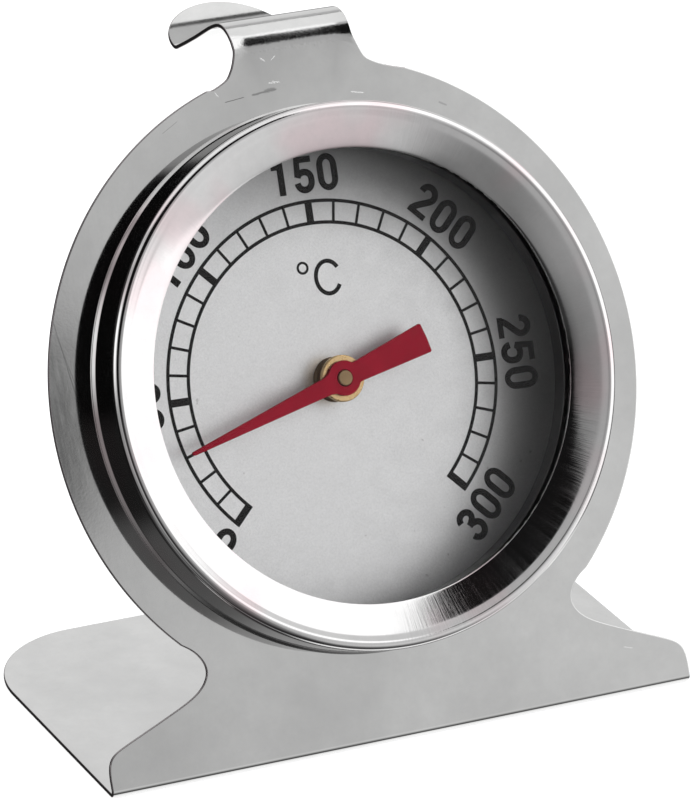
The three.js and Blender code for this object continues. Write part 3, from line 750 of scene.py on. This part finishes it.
# the rolled bend is pulled a little out of true across its width, more towards its right end
ub, sb = flat_uv[:, 0] - HOOK_X, flat_uv[:, 1]
roll = np.clip((sb - s_roll + 0.05) / 0.2, 0, 1) * np.clip((s_roll + 3.0 - sb) / 1.4, 0, 1)
pull = 0.085 + 0.014 * np.clip(-ub, -5, 5) / 5 + 0.20 * np.clip((ub - 3.6) / 2.0, 0, 1) ** 2 - 0.14 * np.clip((-4.7 - ub) / 0.9, 0, 1)
droop = np.clip(1 - (sb - bend_z) / 1.3, 0, 1) ** 1.4 * np.clip((sb - bend_z + 0.9) / 0.9, 0, 1) * 0.0
n = n - (droop * np.sign(-n[:, 1]) * (np.abs(n[:, 1]) > 0.5))[:, None] * np.array([0, 0, 1.0])
n = n - (roll * pull * np.sign(n[:, 2] + 1e-9 - n[:, 1]))[:, None] * np.array([1.0, 0, 0])
n /= np.linalg.norm(n, axis=1)[:, None]
build("stand", v, f, n, MAT["stand"], "stand_steel", "case", ("stand_plate",), extra={"flat": flat_uv})


# ------------------------------------------------------------------------ rim
def rim():
    # inner cone, a little dished, up to a rolled lip; then the wall and the flared foot of the rim
    cone = []
    slope = [(21.56, 24.5), (21.9, 20.5), (22.7, 17.8), (24.2, 16.0), (24.4, 13.8), (24.5, 10.6), (25.0, 9.4)]
    y, m = -4.06, 26
    for i in range(m + 1):
        r = 21.56 + 3.42 * i / m
        cone.append((r, y, 0))
        y -= math.tan(math.radians(float(np.interp(r + 1.71 / m, *zip(*slope))))) * 3.42 / m
    yc = cone[-1][1]
    cone.append((25.06, yc - 0.02, 0))
    cr, rho = 25.25, 0.69
    cy = yc - 0.052 + rho * math.sin(math.radians(98))
    lip = [(cr + rho * math.cos(t), cy - rho * math.sin(t), 0) for t in [math.radians(a) for a in range(0, 99, 7)]]
    prof = [(25.4, -0.45, 0.1), (25.5, -0.07, 0.15), (26.08, -0.06, 0.08), (26.15, -0.17, 0.06), (25.95, -0.6, 0.22), (25.945, -0.95, 0), (25.941, -4.2, 0)]
    prof += lip + cone[::-1] + [(21.5, -4.02, 0.03), (21.52, -3.62, 0.1)]
    prof += [(r - 0.05, yy + 0.46, 0) for r, yy, _ in cone[4:-3:5]] + [(25.5, yc + 0.42, 0.3), (25.5, -1.3, 0.2)]
    p, q = rounded(prof, 6)
    seg = 256
    v, f, nn = lathe_arrays(p, q, seg)
    th = np.tile(np.linspace(0, 2 * math.pi, seg, endpoint=False), len(p))
    rad = np.repeat(p[:, 0], seg)
    turn = np.c_[np.cos(th) * 0.025, np.sin(th) * 0.025, rad / 1000.0]
    return build("rim", v, orient(v, f), nn, MAT["rim"], "rim_steel", "case", ("bezel",), extra={"turn": turn})


rim()
solid_turned("glass_lens", [(0, -3.3), (25.1, -3.3, 0.15), (25.1, -2.3, 0.15), (0, -2.3)], 128, 3, material=MAT["glass"], slot="glass", replaces=("lens",))
# the seat ring takes the near-black steel of painted shade
lathe("seat_ring", [(21.8, -2.0, 0.12), (25.1, -2.0, 0.1), (25.1, -1.1, 0.1), (22.4, -1.1, 0.1), (22.4, 0.1, 0.12), (21.8, 0.1, 0.12)], 200, 4, material=MAT["dark_case"], slot="case_steel", replaces=("lens_seat_ring",))
lathe("clamp", [(24.6, 0.7, 0.15), (26.2, 0.7, 0.3), (26.2, 2.1, 0.4), (25.2, 2.3, 0.3), (24.6, 2.1, 0.2)], 200, 4, material=MAT["case"], slot="case_steel", replaces=("clamp_ring",))

# ------------------------------------------------------------------------ dial
flat = lambda y: (lambda u, s: (np.c_[u, np.full(len(u), y), s], np.tile([0.0, -1.0, 0.0], (len(u), 1)), np.tile([0.0, 0.0, 1.0], (len(u), 1))))
dial_grid = [(r_ * math.cos(a_), r_ * math.sin(a_) + CASE_Z) for r_ in (4, 7, 10, 12, 13.5, 15, 16.5, 18, 19, 20, 21, 22.2) for a_ in np.linspace(0, 2 * math.pi, 49)[:-1]]
v, f, n, dial_uv = sheet([arc2(0, CASE_Z, 23.5, 0, 360, 241)[:-1], arc2(0, CASE_Z, 1.75, 0, 360, 49)[:-1]], 0.4, flat(DIAL_FACE + 0.2), edge=0.06, n=2, extra=dial_grid, data=True)
build("dial", v, f, n, MAT["dial"], "dial_face", "case", ("dial_plate",), extra={"flat": dial_uv})


# Printed scale. Every mark is a closed shape of ink, a few hundredths proud.
def stroke(pts, w):
    """Closed outline of an open line of width w, with flat ends."""
    Q = np.asarray(pts, float)
    P = [Q[0]]
    for q_ in Q[1:-1]:
        if np.hypot(*(q_ - P[-1])) > 0.11:
            P.append(q_)
    if np.hypot(*(Q[-1] - P[-1])) < 0.08:
        P.pop()
    P = np.array(P + [Q[-1]])
    d = np.diff(P, axis=0); d /= np.linalg.norm(d, axis=1)[:, None]
    nn = np.c_[-d[:, 1], d[:, 0]]
    off = []
    for i in range(len(P)):
        a, b = nn[max(i - 1, 0)], nn[min(i, len(nn) - 1)]
        q = a + b; q = q * 2 / (q @ q)
        off.append(q * w / 2)
    off = np.array(off)
    return np.vstack([P + off, (P - off)[::-1]])


def stadium(w, h, cx=0.0, cy=None, flatness=1.0, n=14):
    r = w / 2; ry = min(h / 2, r * flatness)
    cy = h / 2 if cy is None else cy
    return np.vstack([arc2(cx, cy + h / 2 - ry, r, 0, 180, n, ry), arc2(cx, cy - h / 2 + ry, r, 180, 360, n, ry)])


H, SW = 3.5, 0.64


def glyph(ch):
    """(filled shapes, cut-out shapes) of one character, on its base line, centred on x = 0."""
    if ch == "0":
        return [stadium(2.12, H + 0.08, 0, H / 2, 1.15)], [stadium(0.80, H - 1.12, 0, H / 2, 1.25)]
    if ch == "1":
        return [np.array([(-0.27, 0), (0.40, 0), (0.40, H), (-0.02, H), (-0.18, H - 0.3), (-0.42, H - 0.5), (-0.86, H - 0.6), (-0.86, H - 1.02), (-0.27, H - 1.02)])], []
    if ch == "5":
        bar = np.array([(-0.86, H), (0.88, H), (0.88, H - 0.6), (-0.32, H - 0.6), (-0.36, H - 1.36), (-0.42, H - 1.86), (-1.0, H - 1.92)])
        bowl = np.vstack([arc2(0.0, 1.38, 0.72, 168, 78, 9, 0.62), arc2(-0.02, 1.36, 0.74, 78, 0, 10, 0.66), arc2(-0.03, 1.05, 0.75, 0, -90, 12, 0.76), arc2(-0.03, 1.05, 0.73, -90, -176, 12, 0.76)])
        return [bar, stroke(bowl, SW)], []
    if ch == "2":
        top = np.vstack([arc2(-0.02, 2.44, 0.73, 184, 90, 12, 0.76), arc2(-0.02, 2.44, 0.74, 90, -22, 12, 0.76), [(0.32, 1.70), (-0.16, 1.18), (-0.52, 0.72), (-0.66, 0.34)]])
        return [stroke(chaikin(top, 1), SW), np.array([(-1.03, 0), (1.0, 0), (1.0, 0.58), (-0.99, 0.58)])], []
    if ch == "3":
        up = np.vstack([arc2(-0.05, 2.58, 0.68, 172, 90, 10, 0.63), arc2(-0.05, 2.58, 0.70, 90, -50, 14, 0.62), [(-0.02, 1.93), (-0.32, 1.90)]])
        dn = np.vstack([[(-0.32, 1.86), (0.02, 1.84)], arc2(-0.05, 1.02, 0.75, 55, -90, 16, 0.76), arc2(-0.05, 1.02, 0.73, -90, -176, 12, 0.76)])
        return [stroke(up, SW), stroke(dn, SW)], []
    raise ValueError(ch)


shapes = []  # (filled, cut) in dial coordinates x, z around the dial's middle
PHI = -1.35
tick_angle = lambda k: 225.0 - 9.0 * k + PHI
a_hi, a_lo = tick_angle(0), tick_angle(30)


def band(r, w, a, b, n=220):
    return np.vstack([arc2(0, 0, r + w / 2, a, b, n), arc2(0, 0, r - w / 2, b, a, n)])


scale_pos = [band(15.0, 0.33, a_lo - 1.25, a_hi + 1.25), band(17.08, 0.33, a_lo - 1.1, a_hi + 1.1)]
for k in range(31):
    a = math.radians(tick_angle(k)); w = 0.74 if k % 5 == 0 else 0.275
    t, e = np.array([math.cos(a), math.sin(a)]), np.array([math.sin(a), -math.cos(a)])
    r0, r1 = 14.86, 17.22
    scale_pos.append(np.array([t * r0 - e * w / 2, t * r1 - e * w / 2, t * r1 + e * w / 2, t * r0 + e * w / 2]))
shapes.append((scale_pos, []))
for val, text in ((0, "0"), (5, "50"), (10, "100"), (15, "150"), (20, "200"), (25, "250"), (30, "300")):
    a = math.radians(tick_angle(val))
    t, e = np.array([math.cos(a), math.sin(a)]), np.array([math.sin(a), -math.cos(a)])
    for i, ch in enumerate(text):
        uc = (i - (len(text) - 1) / 2) * 2.47
        if val == 30:
            tr = lambda g, uc=uc, t=t, e=e: (21.46 - g[:, 1:]) * t - (uc + g[:, :1]) * e
        else:
            tr = lambda g, uc=uc, t=t, e=e: (17.90 + g[:, 1:]) * t + (uc + g[:, :1]) * e
        pos, neg = glyph(ch)
        shapes.append(([tr(g) for g in pos], [tr(g) for g in neg]))
a = math.radians(PHI)
rot2 = np.array([[math.cos(a), math.sin(a)], [-math.sin(a), math.cos(a)]])
deg_c = np.array([-1.28, 10.91])
shapes.append(([arc2(*deg_c, 0.62, 0, 360, 37)[:-1]], [arc2(*deg_c, 0.39, 0, 360, 37)[:-1]]))
cc = stroke(arc2(0, 0, 1.27, 33, 329, 48, 1.56), 0.40) @ rot2 + np.array([1.20, 9.68])
shapes.append(([cc], []))


def ink():
    V, F, N = [], [], []
    base = 0
    y0, y1 = DIAL_FACE - 0.022, DIAL_FACE + 0.004
    for pos, neg in shapes:
        polys = [ccw(p) for p in pos + neg]
        pts = np.concatenate(polys)
        off = np.cumsum([0] + [len(p) for p in polys])
        edges = [(int(off[i] + k), int(off[i] + (k + 1) % len(p))) for i, p in enumerate(polys) for k in range(len(p))]
        res = delaunay_2d_cdt([Vector(p) for p in pts], edges, [], 0, 1e-6)
        vco = np.array([(q.x, q.y) for q in res[0]]); tri = np.array(res[2])
        cen = vco[tri].mean(1)
        ok = np.zeros(len(tri), bool)
        for p in polys[: len(pos)]:
            ok |= winding(cen, p)
        for p in polys[len(pos):]:
            ok &= ~inside(cen, p)
        tri = tri[ok]
        a, b, c = vco[tri[:, 0]], vco[tri[:, 1]], vco[tri[:, 2]]
        ar = (b[:, 0] - a[:, 0]) * (c[:, 1] - a[:, 1]) - (b[:, 1] - a[:, 1]) * (c[:, 0] - a[:, 0])
        tri = tri[np.abs(ar) > 1e-9]; ar = ar[np.abs(ar) > 1e-9]
        tri[ar < 0] = tri[ar < 0][:, ::-1]
        used = np.unique(tri); rm_ = -np.ones(len(vco), int); rm_[used] = np.arange(len(used))
        vco, tri = vco[used], rm_[tri]
        m = len(vco)
        V.append(np.c_[vco[:, 0], np.full(m, y0), vco[:, 1] + CASE_Z]); V.append(np.c_[vco[:, 0], np.full(m, y1), vco[:, 1] + CASE_Z])
        F += [tuple(t + base) for t in tri] + [tuple((t + base + m)[::-1]) for t in tri]
        count = {}
        for t in tri:
            for i, j in ((0, 1), (1, 2), (2, 0)):
                count[(t[i], t[j])] = 1
        for (i, j) in list(count):
            if (j, i) not in count:
                F.append((i + base, i + base + m, j + base + m, j + base))
        base += 2 * m
    V = np.concatenate(V)
    me = bpy.data.meshes.new("dial_print")
    me.from_pydata(to_world(V).tolist(), [], [list(map(int, q)) for q in F])
    me.update()
    ob = bpy.data.objects.new("dial_print", me)
    bpy.context.scene.collection.objects.link(ob)
    me.materials.append(MAT["ink"])
    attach(ob, "case")


ink()

# --------------------------------------------------------------------- pointer
ca, sa = math.cos(POINTER_ANGLE), math.sin(POINTER_ANGLE)
hub = 1.68
tip, tail = 17.2, 9.4
wt, wn, wa, wb = 0.22, 0.86, 0.98, 1.47
pts = [(tip, -wt * 0.8), (tip + 0.12, 0), (tip, wt * 0.8), (tip - 0.2, wt), (1.95, wn)]
pts += [(1.72, 0.93)] + [tuple(p) for p in arc2(0, 0, hub, 39, 180 - 37, 26)] + [(-1.62, 1.0)]
pts += [(-tail + 0.15, wb), (-tail, wb - 0.12), (-tail - 0.06, 0), (-tail, -wb + 0.12), (-tail + 0.15, -wb), (-1.62, -1.0)]
pts += [tuple(p) for p in arc2(0, 0, hub, 180 + 37, 360 - 39, 26)] + [(1.72, -0.93), (1.95, -wn)]
ptr = np.array([(x * ca - z * sa, x * sa + z * ca) for x, z in pts])
bore = arc2(0, 0, 0.80, 0, 360, 41)[:-1]
v, f, n = sheet([ptr + [0, CASE_Z], bore + [0, CASE_Z]], 0.4, flat(0.8), edge=0.07, n=3)
build("pointer_needle", v, f, n, MAT["red"], "pointer_red", "pointer_shaft", ("pointer",))
lathe("collar", [(0.9, 1.05, 0.03), (2.24, 1.05, 0.14), (2.24, 1.5, 0.12), (1.7, 1.62, 0.1), (1.7, 2.55, 0.1), (0.9, 2.55, 0.05)], 72, 4, material=MAT["brass"], slot="brass", body="pointer_shaft", replaces=("pointer_collar",))
solid_turned("shaft", [(0, 0.42), (0.74, 0.44, 0.12), (0.77, 0.95, 0.05), (0.75, 8.95, 0.1), (0, 8.95)], 48, 4, material=MAT["shaft_brass"], slot="brass", body="pointer_shaft", replaces=("spindle",))
# the bush's near-black brass is painted shade
lathe("bush_front", [(1.0, 2.76, 0.03), (1.95, 2.76, 0.12), (2.2, 3.2, 0.05), (1.6, 3.2, 0.03), (1.6, 4.4, 0.05), (1.0, 4.4, 0.05)], 64, 3, material=MAT["bush_brass"], slot="brass", replaces=("front_bush",))


# -------------------------------------------------------------------- case cup
def cup():
    seg = 192
    outer = [(20.9, 10.0, 0), (21.25, 10.0, 0.0)]
    prof_o = [(21.4, 10.0, 0.5), (22.0, 9.4, 0.5), (22.0, 4.4, 0.35), (24.1, 4.4, 0.5), (24.3, 3.7, 0.4), (24.3, -0.3, 0.15), (25.0, -0.3, 0.12), (25.0, -0.8, 0.12),
              (23.8, -0.8, 0.3), (23.8, 3.9, 0.15), (21.5, 3.9, 0.2), (21.5, 9.1, 0.4), (21.1, 9.5, 0.2), (20.9, 9.5, 0.0)]
    closed = [(20.9, 10.0, 0.0)] + prof_o
    p, q = rounded(closed, 4)
    i0 = int(np.argmin(np.hypot(p[:, 0] - 20.9, p[:, 1] - 10.0)))
    i1 = int(np.argmin(np.hypot(p[:, 0] - 20.9, p[:, 1] - 9.5)))
    order = []
    k = i0
    step = 1 if (i0 + 1) % len(p) != i1 else -1
    while True:
        order.append(k)
        if k == i1:
            break
        k = (k + step) % len(p)
    p, q = p[order], q[order]
    q[0] = (0, 1); q[-1] = (0, -1)
    v, f, nn = lathe_arrays(p, q, seg, closed=False)
    rim_o, rim_i = np.arange(seg), (len(p) - 1) * seg + np.arange(seg)
    loops = []
    for i in range(6):
        mid_a = 30 + 60 * i; ha = 16
        mr = math.radians
        c1 = (11.6 * math.cos(mr(mid_a + ha)), 11.6 * math.sin(mr(mid_a + ha)))
        c0 = (11.6 * math.cos(mr(mid_a - ha)), 11.6 * math.sin(mr(mid_a - ha)))
        lp = np.vstack([arc2(0, 0, 12.6, mid_a - ha, mid_a + ha, 16), arc2(*c1, 1.0, mid_a + ha, mid_a + ha + 180, 12)[1:-1],
                        arc2(0, 0, 10.6, mid_a + ha, mid_a - ha, 16), arc2(*c0, 1.0, mid_a - ha + 180, mid_a - ha + 360, 12)[1:-1]])
        loops.append(lp)
    for sx in (-1, 1):
        loops.append(arc2(sx * POST_X, 0, 1.3, 0, 360, 33)[:-1])
    outer_loop = p[0][0] * np.c_[np.cos(np.linspace(0, 2 * math.pi, seg, endpoint=False)), np.sin(np.linspace(0, 2 * math.pi, seg, endpoint=False))]
    polys = [outer_loop] + loops
    pts = np.concatenate(polys); off = np.cumsum([0] + [len(a) for a in polys])
    edges = [(int(off[i] + k), int(off[i] + (k + 1) % len(a))) for i, a in enumerate(polys) for k in range(len(a))]
    res = delaunay_2d_cdt([Vector(a) for a in pts], edges, [], 0, 1e-7)
    vco = np.array([(a.x, a.y) for a in res[0]]); tri = np.array(res[2])
    cen = vco[tri].mean(1)
    ok = inside(cen, outer_loop)
    for lp in loops:
        ok &= ~inside(cen, lp)
    tri = tri[ok]
    back = {}
    for new, olds in enumerate(res[3]):
        for o in olds:
            back[o] = new
    inv = {new: o for o, new in back.items()}
    base = len(v)
    nh = len(pts) - seg
    hv = pts[seg:]
    v = np.vstack([v, np.c_[hv[:, 0], np.full(nh, 10.0), hv[:, 1] + CASE_Z], np.c_[hv[:, 0], np.full(nh, 9.5), hv[:, 1] + CASE_Z]])
    nn = np.vstack([nn, np.tile([0, 1.0, 0], (nh, 1)), np.tile([0, -1.0, 0], (nh, 1))])
    o_id = lambda o: int(rim_o[o]) if o < seg else base + o - seg
    i_id = lambda o: int(rim_i[o]) if o < seg else base + nh + o - seg
    for t in tri:
        o = [inv[x] for x in t]
        a, b, c = pts[o[0]], pts[o[1]], pts[o[2]]
        if (b[0] - a[0]) * (c[1] - a[1]) - (b[1] - a[1]) * (c[0] - a[0]) < 0:
            o = o[::-1]
        f.append(tuple(o_id(x) for x in o[::-1]))
        f.append(tuple(i_id(x) for x in o))
    for i in range(1, len(polys)):
        m = len(polys[i])
        lp = ccw(polys[i])
        rev = not np.allclose(lp[0], polys[i][0])
        for k in range(m):
            a, b = off[i] + k, off[i] + (k + 1) % m
            if rev:
                a, b = b, a
            f.append((o_id(a), o_id(b), i_id(b), i_id(a)))
    return v, f, nn


v, f, n = cup()
me_cup = build("case_shell", v, f, None, MAT["case"], "case_steel", "case", ("case_cup",))
import bmesh
bm = bmesh.new(); bm.from_mesh(me_cup.data)
bmesh.ops.recalc_face_normals(bm, faces=bm.faces)
bm.to_mesh(me_cup.data); bm.free()
me_cup.data.polygons.foreach_set("use_smooth", [True] * len(me_cup.data.polygons))
me_cup.data.set_sharp_from_angle(angle=math.radians(35))
# painted shade: the cup's inner wall around the seat ring takes the near-black steel
me_cup.data.materials.append(MAT["dark_case"])
for poly in me_cup.data.polygons:
    px_, py_, pz_ = [c_ * 1000.0 for c_ in poly.center]
    yy_ = (py_ - OY) * C - (pz_ - OZ) * S
    zz_ = (py_ - OY) * S + (pz_ - OZ) * C - CASE_Z
    if math.hypot(px_, zz_) < 23.95 and yy_ < 3.95 and math.hypot(px_, zz_) > 21.0:
        poly.material_index = 1

for side, sx in (("left", -1), ("right", 1)):
    solid_turned("rivet_" + side, [(0, 6.8), (1.0, 6.8, 0.1), (1.0, 10.12, 0.05), (2.35, 10.1, 0.12), (2.1, 10.6, 0.4), (1.2, 10.92, 0.6), (0, 11.0)], 48, 4, cx=sx * POST_X, material=MAT["move"], slot="movement_steel", replaces=("back_rivet_" + side,))


# ------------------------------------------------------------------------ coil
def coil():
    k = int(COIL["turns"] * 60)
    t = np.linspace(0, 1, k)
    a = -2 * math.pi * COIL["turns"] * (1 - t)
    r = COIL["r0"] + (COIL["r1"] - COIL["r0"]) * t
    h = COIL["t"] / 2
    outl = np.vstack([np.c_[(r + h) * np.cos(a), (r + h) * np.sin(a)], np.c_[(r - h) * np.cos(a), (r - h) * np.sin(a)][::-1]])
    v, f, n = sheet([outl + [0, CASE_Z]], COIL["y1"] - COIL["y0"], flat((COIL["y0"] + COIL["y1"]) / 2), edge=0.05, n=2)
    build("coil", v, f, n, MAT["bimetal"], "bimetal", "case", ("bimetal_coil",))


coil()
for nm, mt in (("movement_bridge", "move"), ("rear_bush", "brass"), ("coil_anchor", "move"), ("coil_anchor_rivet", "move"), ("dial_post_left", "move"), ("dial_post_right", "move"), ("coil_collet", "brass"), ("spindle_clip", "move")):
    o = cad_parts[nm]
    for s_ in o.material_slots:
        s_.material = MAT[mt]
    o.data.set_sharp_from_angle(angle=math.radians(30))

# ------------------------------------------------------------- floor and light
fl = bpy.data.meshes.new("floor")
R = 1.6
seg = 64
vs = [(R * math.cos(2 * math.pi * i / seg), R * math.sin(2 * math.pi * i / seg), -0.00005) for i in range(seg)]
fl.from_pydata(vs, [], [list(range(seg))])
floor = bpy.data.objects.new("floor", fl)
bpy.context.scene.collection.objects.link(floor)
fm, nt, b = material("floor_pale", (0.93, 0.93, 0.93), 0.0, 0.8)
link(nt, mix_color(nt, noise(nt, object_coords(nt), 30.0, 3.0, 0.6), (0.37, 0.37, 0.37, 1), (0.38, 0.38, 0.38, 1)), b.inputs["Base Color"])
b.inputs["Emission Color"].default_value = (1, 1, 1, 1)
b.inputs["Emission Strength"].default_value = 0.78
fl.materials.append(fm)
floor.visible_glossy = False

scene = bpy.context.scene
scene.view_settings.view_transform = "Standard"
scene.view_settings.look = "None"
scene.view_settings.exposure = 0.0
scene.view_settings.gamma = 1.0

world = bpy.data.worlds.new("studio")
scene.world = world
world.use_nodes = True
nt = world.node_tree
nt.nodes.clear()
out = node(nt, "ShaderNodeOutputWorld")
tc = node(nt, "ShaderNodeTexCoord")
D = tc.outputs["Generated"]


def dot(vec):
    n_ = node(nt, "ShaderNodeVectorMath", operation="DOT_PRODUCT")
    link(nt, D, n_.inputs[0])
    n_.inputs[1].default_value = vec
    return n_.outputs["Value"]


def plate_dir(az, el):
    """Unit direction in the row frame for an azimuth (0 in front of the dial, positive to the right) and an elevation, both seen from the plate."""
    a_, e_ = math.radians(az), math.radians(el)
    p = (math.sin(a_) * math.cos(e_), -math.cos(a_) * math.cos(e_), math.sin(e_))
    return tuple(turn_world([p])[0])


PX, PF, PZ = dot(plate_dir(90, 0)), dot(plate_dir(0, 0)), dot(plate_dir(0, 90))
WZ = dot((0, 0, 1))
WY = dot((0, 1, 0))


def mixv(a_, b_, fac):
    """a where fac is 0, b where fac is 1; a and b are numbers or sockets."""
    n_ = node(nt, "ShaderNodeMix", data_type="FLOAT")
    link(nt, fac, n_.inputs[0])
    for s_, v_ in ((n_.inputs[2], a_), (n_.inputs[3], b_)):
        if isinstance(v_, (int, float)):
            s_.default_value = v_
        else:
            link(nt, v_, s_)
    return n_.outputs[0]


def step(val, a_, b_):
    """Smooth 0 to 1 as val goes from a to b."""
    if a_ < b_:
        return remap(nt, val, a_, b_, 0.0, 1.0, "SMOOTHSTEP")
    return remap(nt, val, b_, a_, 1.0, 0.0, "SMOOTHSTEP")


def both(*f_):
    r_ = f_[0]
    for x_ in f_[1:]:
        r_ = math_node(nt, "MULTIPLY", r_, x_)
    return r_


def deg_step(val, a_, b_):
    return step(val, math.sin(math.radians(a_)), math.sin(math.radians(b_)))


az = math_node(nt, "ARCTAN2", PX, PF)           # radians, seen from the plate
el = math_node(nt, "ARCSINE", PZ)
rad = math.radians


def az_in(a_, b_, soft):
    return both(step(az, rad(a_ - soft), rad(a_ + soft)), step(az, rad(b_ + soft), rad(b_ - soft)))


def el_in(a_, b_, soft):
    return both(step(el, rad(a_ - soft), rad(a_ + soft)), step(el, rad(b_ + soft), rad(b_ - soft)))


# Surroundings: a white tent with the dark camera and its stand in front, which the polished steel mirrors.
cam_axis = plate_dir(-24.5, 1.0)
ramp = node(nt, "ShaderNodeValToRGB")
stops = [(0, 0.006), (8.5, 0.01), (10, 0.08), (12, 0.17), (17, 0.27), (25, 0.43), (33, 0.50), (38, 0.54), (45, 0.56), (46.5, 0.60), (47.5, 0.67), (49, 0.70), (51.5, 0.79), (58, 0.86), (75, 0.95), (110, 0.97), (179, 1.0)]
cr_ = ramp.color_ramp
while len(cr_.elements) < len(stops):
    cr_.elements.new(0.5)
for e0, (deg, val) in zip(cr_.elements, stops):
    e0.position = deg / 180.0
for e0, (deg, val) in zip(cr_.elements, stops):
    e0.color = (val, val, val, 1)
link(nt, math_node(nt, "MULTIPLY", math_node(nt, "ARCCOSINE", dot(cam_axis)), 1 / math.pi), ramp.inputs[0])
front = step(PF, -0.02, 0.02)
L = ramp.outputs[0]
low = both(step(el, rad(-8), rad(-24)), step(az, rad(17), rad(5)), step(az, rad(-50), rad(-30)), front)
L = math_node(nt, "MULTIPLY", L, math_node(nt, "MULTIPLY_ADD", low, -0.52, 1.0))
# dark spot by the camera's edge
spot = dot(plate_dir(21.2, -0.9))
L = mixv(L, 0.12, both(step(spot, math.cos(rad(1.5)), math.cos(rad(0.5))), front))
L = mixv(L, 0.04, both(az_in(-42, -15, 2.5), step(el, rad(2), rad(-4)), step(el, rad(-44), rad(-30)), front))
# the camera stand and hood
over = math_node(nt, "MULTIPLY_ADD", az, 0.42, rad(14.5))
core = both(remap(nt, math_node(nt, "SUBTRACT", el, over), rad(-1.6), rad(1.6), 0.0, 1.0, "SMOOTHSTEP"), step(el, rad(50), rad(47)), step(az, rad(24.8), rad(23.6)), step(az, rad(-48), rad(-44)), front)
L = mixv(L, 0.008, core)
# white sides
edge_az = math_node(nt, "ADD", remap(nt, el, rad(8), rad(20), rad(46), rad(27)), remap(nt, el, rad(-27), rad(-5), rad(10), 0.0))
white = remap(nt, math_node(nt, "SUBTRACT", az, edge_az), rad(-3), rad(3), 0.0, 1.0, "SMOOTHSTEP")
near = both(step(az, rad(29.5), rad(32.5)), el_in(-9, 9, 3))
L = mixv(L, 1.5, near)
white = both(white, step(az, rad(96), rad(88)))
L = mixv(L, 1.55, white)
L = mixv(L, 0.55, both(step(el, rad(47), rad(52)), front))
L = mixv(L, 1.6, both(step(el, rad(47), rad(52)), step(az, rad(8), rad(22)), front))
left = both(step(az, rad(-54), rad(-62)), step(az, rad(-118), rad(-106)), step(el, rad(50), rad(40)))
L = mixv(L, mixv(remap(nt, el, rad(-2), rad(18), 0.38, 1.5, "SMOOTHSTEP"), 0.5, step(el, rad(24), rad(42))), left)
L = math_node(nt, "MULTIPLY", L, mixv(1.0, 0.2, both(step(el, rad(-30), rad(-64)), front)))
# behind the thermometer
backside = step(PF, 0.02, -0.12)
L = mixv(L, 0.92, both(backside, step(el, rad(20), rad(28))))
seam = dot(tuple(turn_world([[0.0, -math.sin(rad(76)), math.cos(rad(76))]])[0]))
lower_back = dot(tuple(turn_world([[0.0, -math.sin(rad(60)), math.cos(rad(60))]])[0]))
L = mixv(L, 1.12, both(step(PZ, 0.80, 0.84), step(seam, 0.0, 0.02)))
L = mixv(L, 0.62, both(step(lower_back, 0.0, 0.05), step(seam, 0.0, -0.02), step(PZ, 0.5, 0.6)))
L = mixv(L, 0.10, both(step(math_node(nt, "ABSOLUTE", seam), 0.024, 0.012), step(PZ, 0.5, 0.6)))
L = mixv(L, 0.07, both(step(PX, 0.05, -0.15), step(PF, 0.0, -0.2), step(WZ, 0.62, 0.5)))
L = math_node(nt, "MULTIPLY", L, mixv(mixv(remap(nt, WZ, -0.12, 0.1, 0.16, 1.0), 1.25, step(WZ, -0.49, -0.56)), remap(nt, WZ, -1.0, -0.02, 0.12, 1.0), step(PF, -0.15, 0.1)))
lp = node(nt, "ShaderNodeLightPath")
L = mixv(L, mixv(0.6, 1.45, step(WZ, -0.1, 0.1)), lp.outputs["Is Diffuse Ray"])
L = mixv(L, 1.0, lp.outputs["Is Camera Ray"])
col = node(nt, "ShaderNodeCombineColor")
for i in range(3):
    link(nt, L, col.inputs[i])
bg = node(nt, "ShaderNodeBackground")
link(nt, col.outputs[0], bg.inputs["Color"])
bg.inputs["Strength"].default_value = 1.0
link(nt, bg.outputs[0], out.inputs[0])

# ---------------------------------------------------------------------- camera
a_, e_, r_ = math.radians(-24.415), math.radians(1.117), math.radians(-9.618)
back = np.array([math.sin(a_) * math.cos(e_), -math.cos(a_) * math.cos(e_), math.sin(e_)])
fwd = -back
rt = np.cross(fwd, [0, 0, 1]); rt /= np.linalg.norm(rt)
up = np.cross(rt, fwd)
rr = math.cos(r_) * rt + math.sin(r_) * up
uu = -math.sin(r_) * rt + math.cos(r_) * up
pos = 591.567 * back - 0.576 * rr - 1.694 * uu
cam_data = bpy.data.cameras.new("camera")
cam = bpy.data.objects.new("camera", cam_data)
scene.collection.objects.link(cam)
X, Y, Z = turn_world([rr])[0], turn_world([uu])[0], turn_world([-fwd])[0]
P = to_world([pos])[0]
cam.matrix_world = Matrix(((X[0], Y[0], Z[0], P[0]), (X[1], Y[1], Z[1], P[1]), (X[2], Y[2], Z[2], P[2]), (0, 0, 0, 1)))
cam_data.sensor_width = 36.0
cam_data.lens = 6259.291 / 798 * 36.0
cam_data.shift_x = (345 - 342.111) / 798
cam_data.shift_y = (397.839 - 399) / 798
cam_data.clip_start = 0.01
cam_data.clip_end = 20
scene.camera = cam
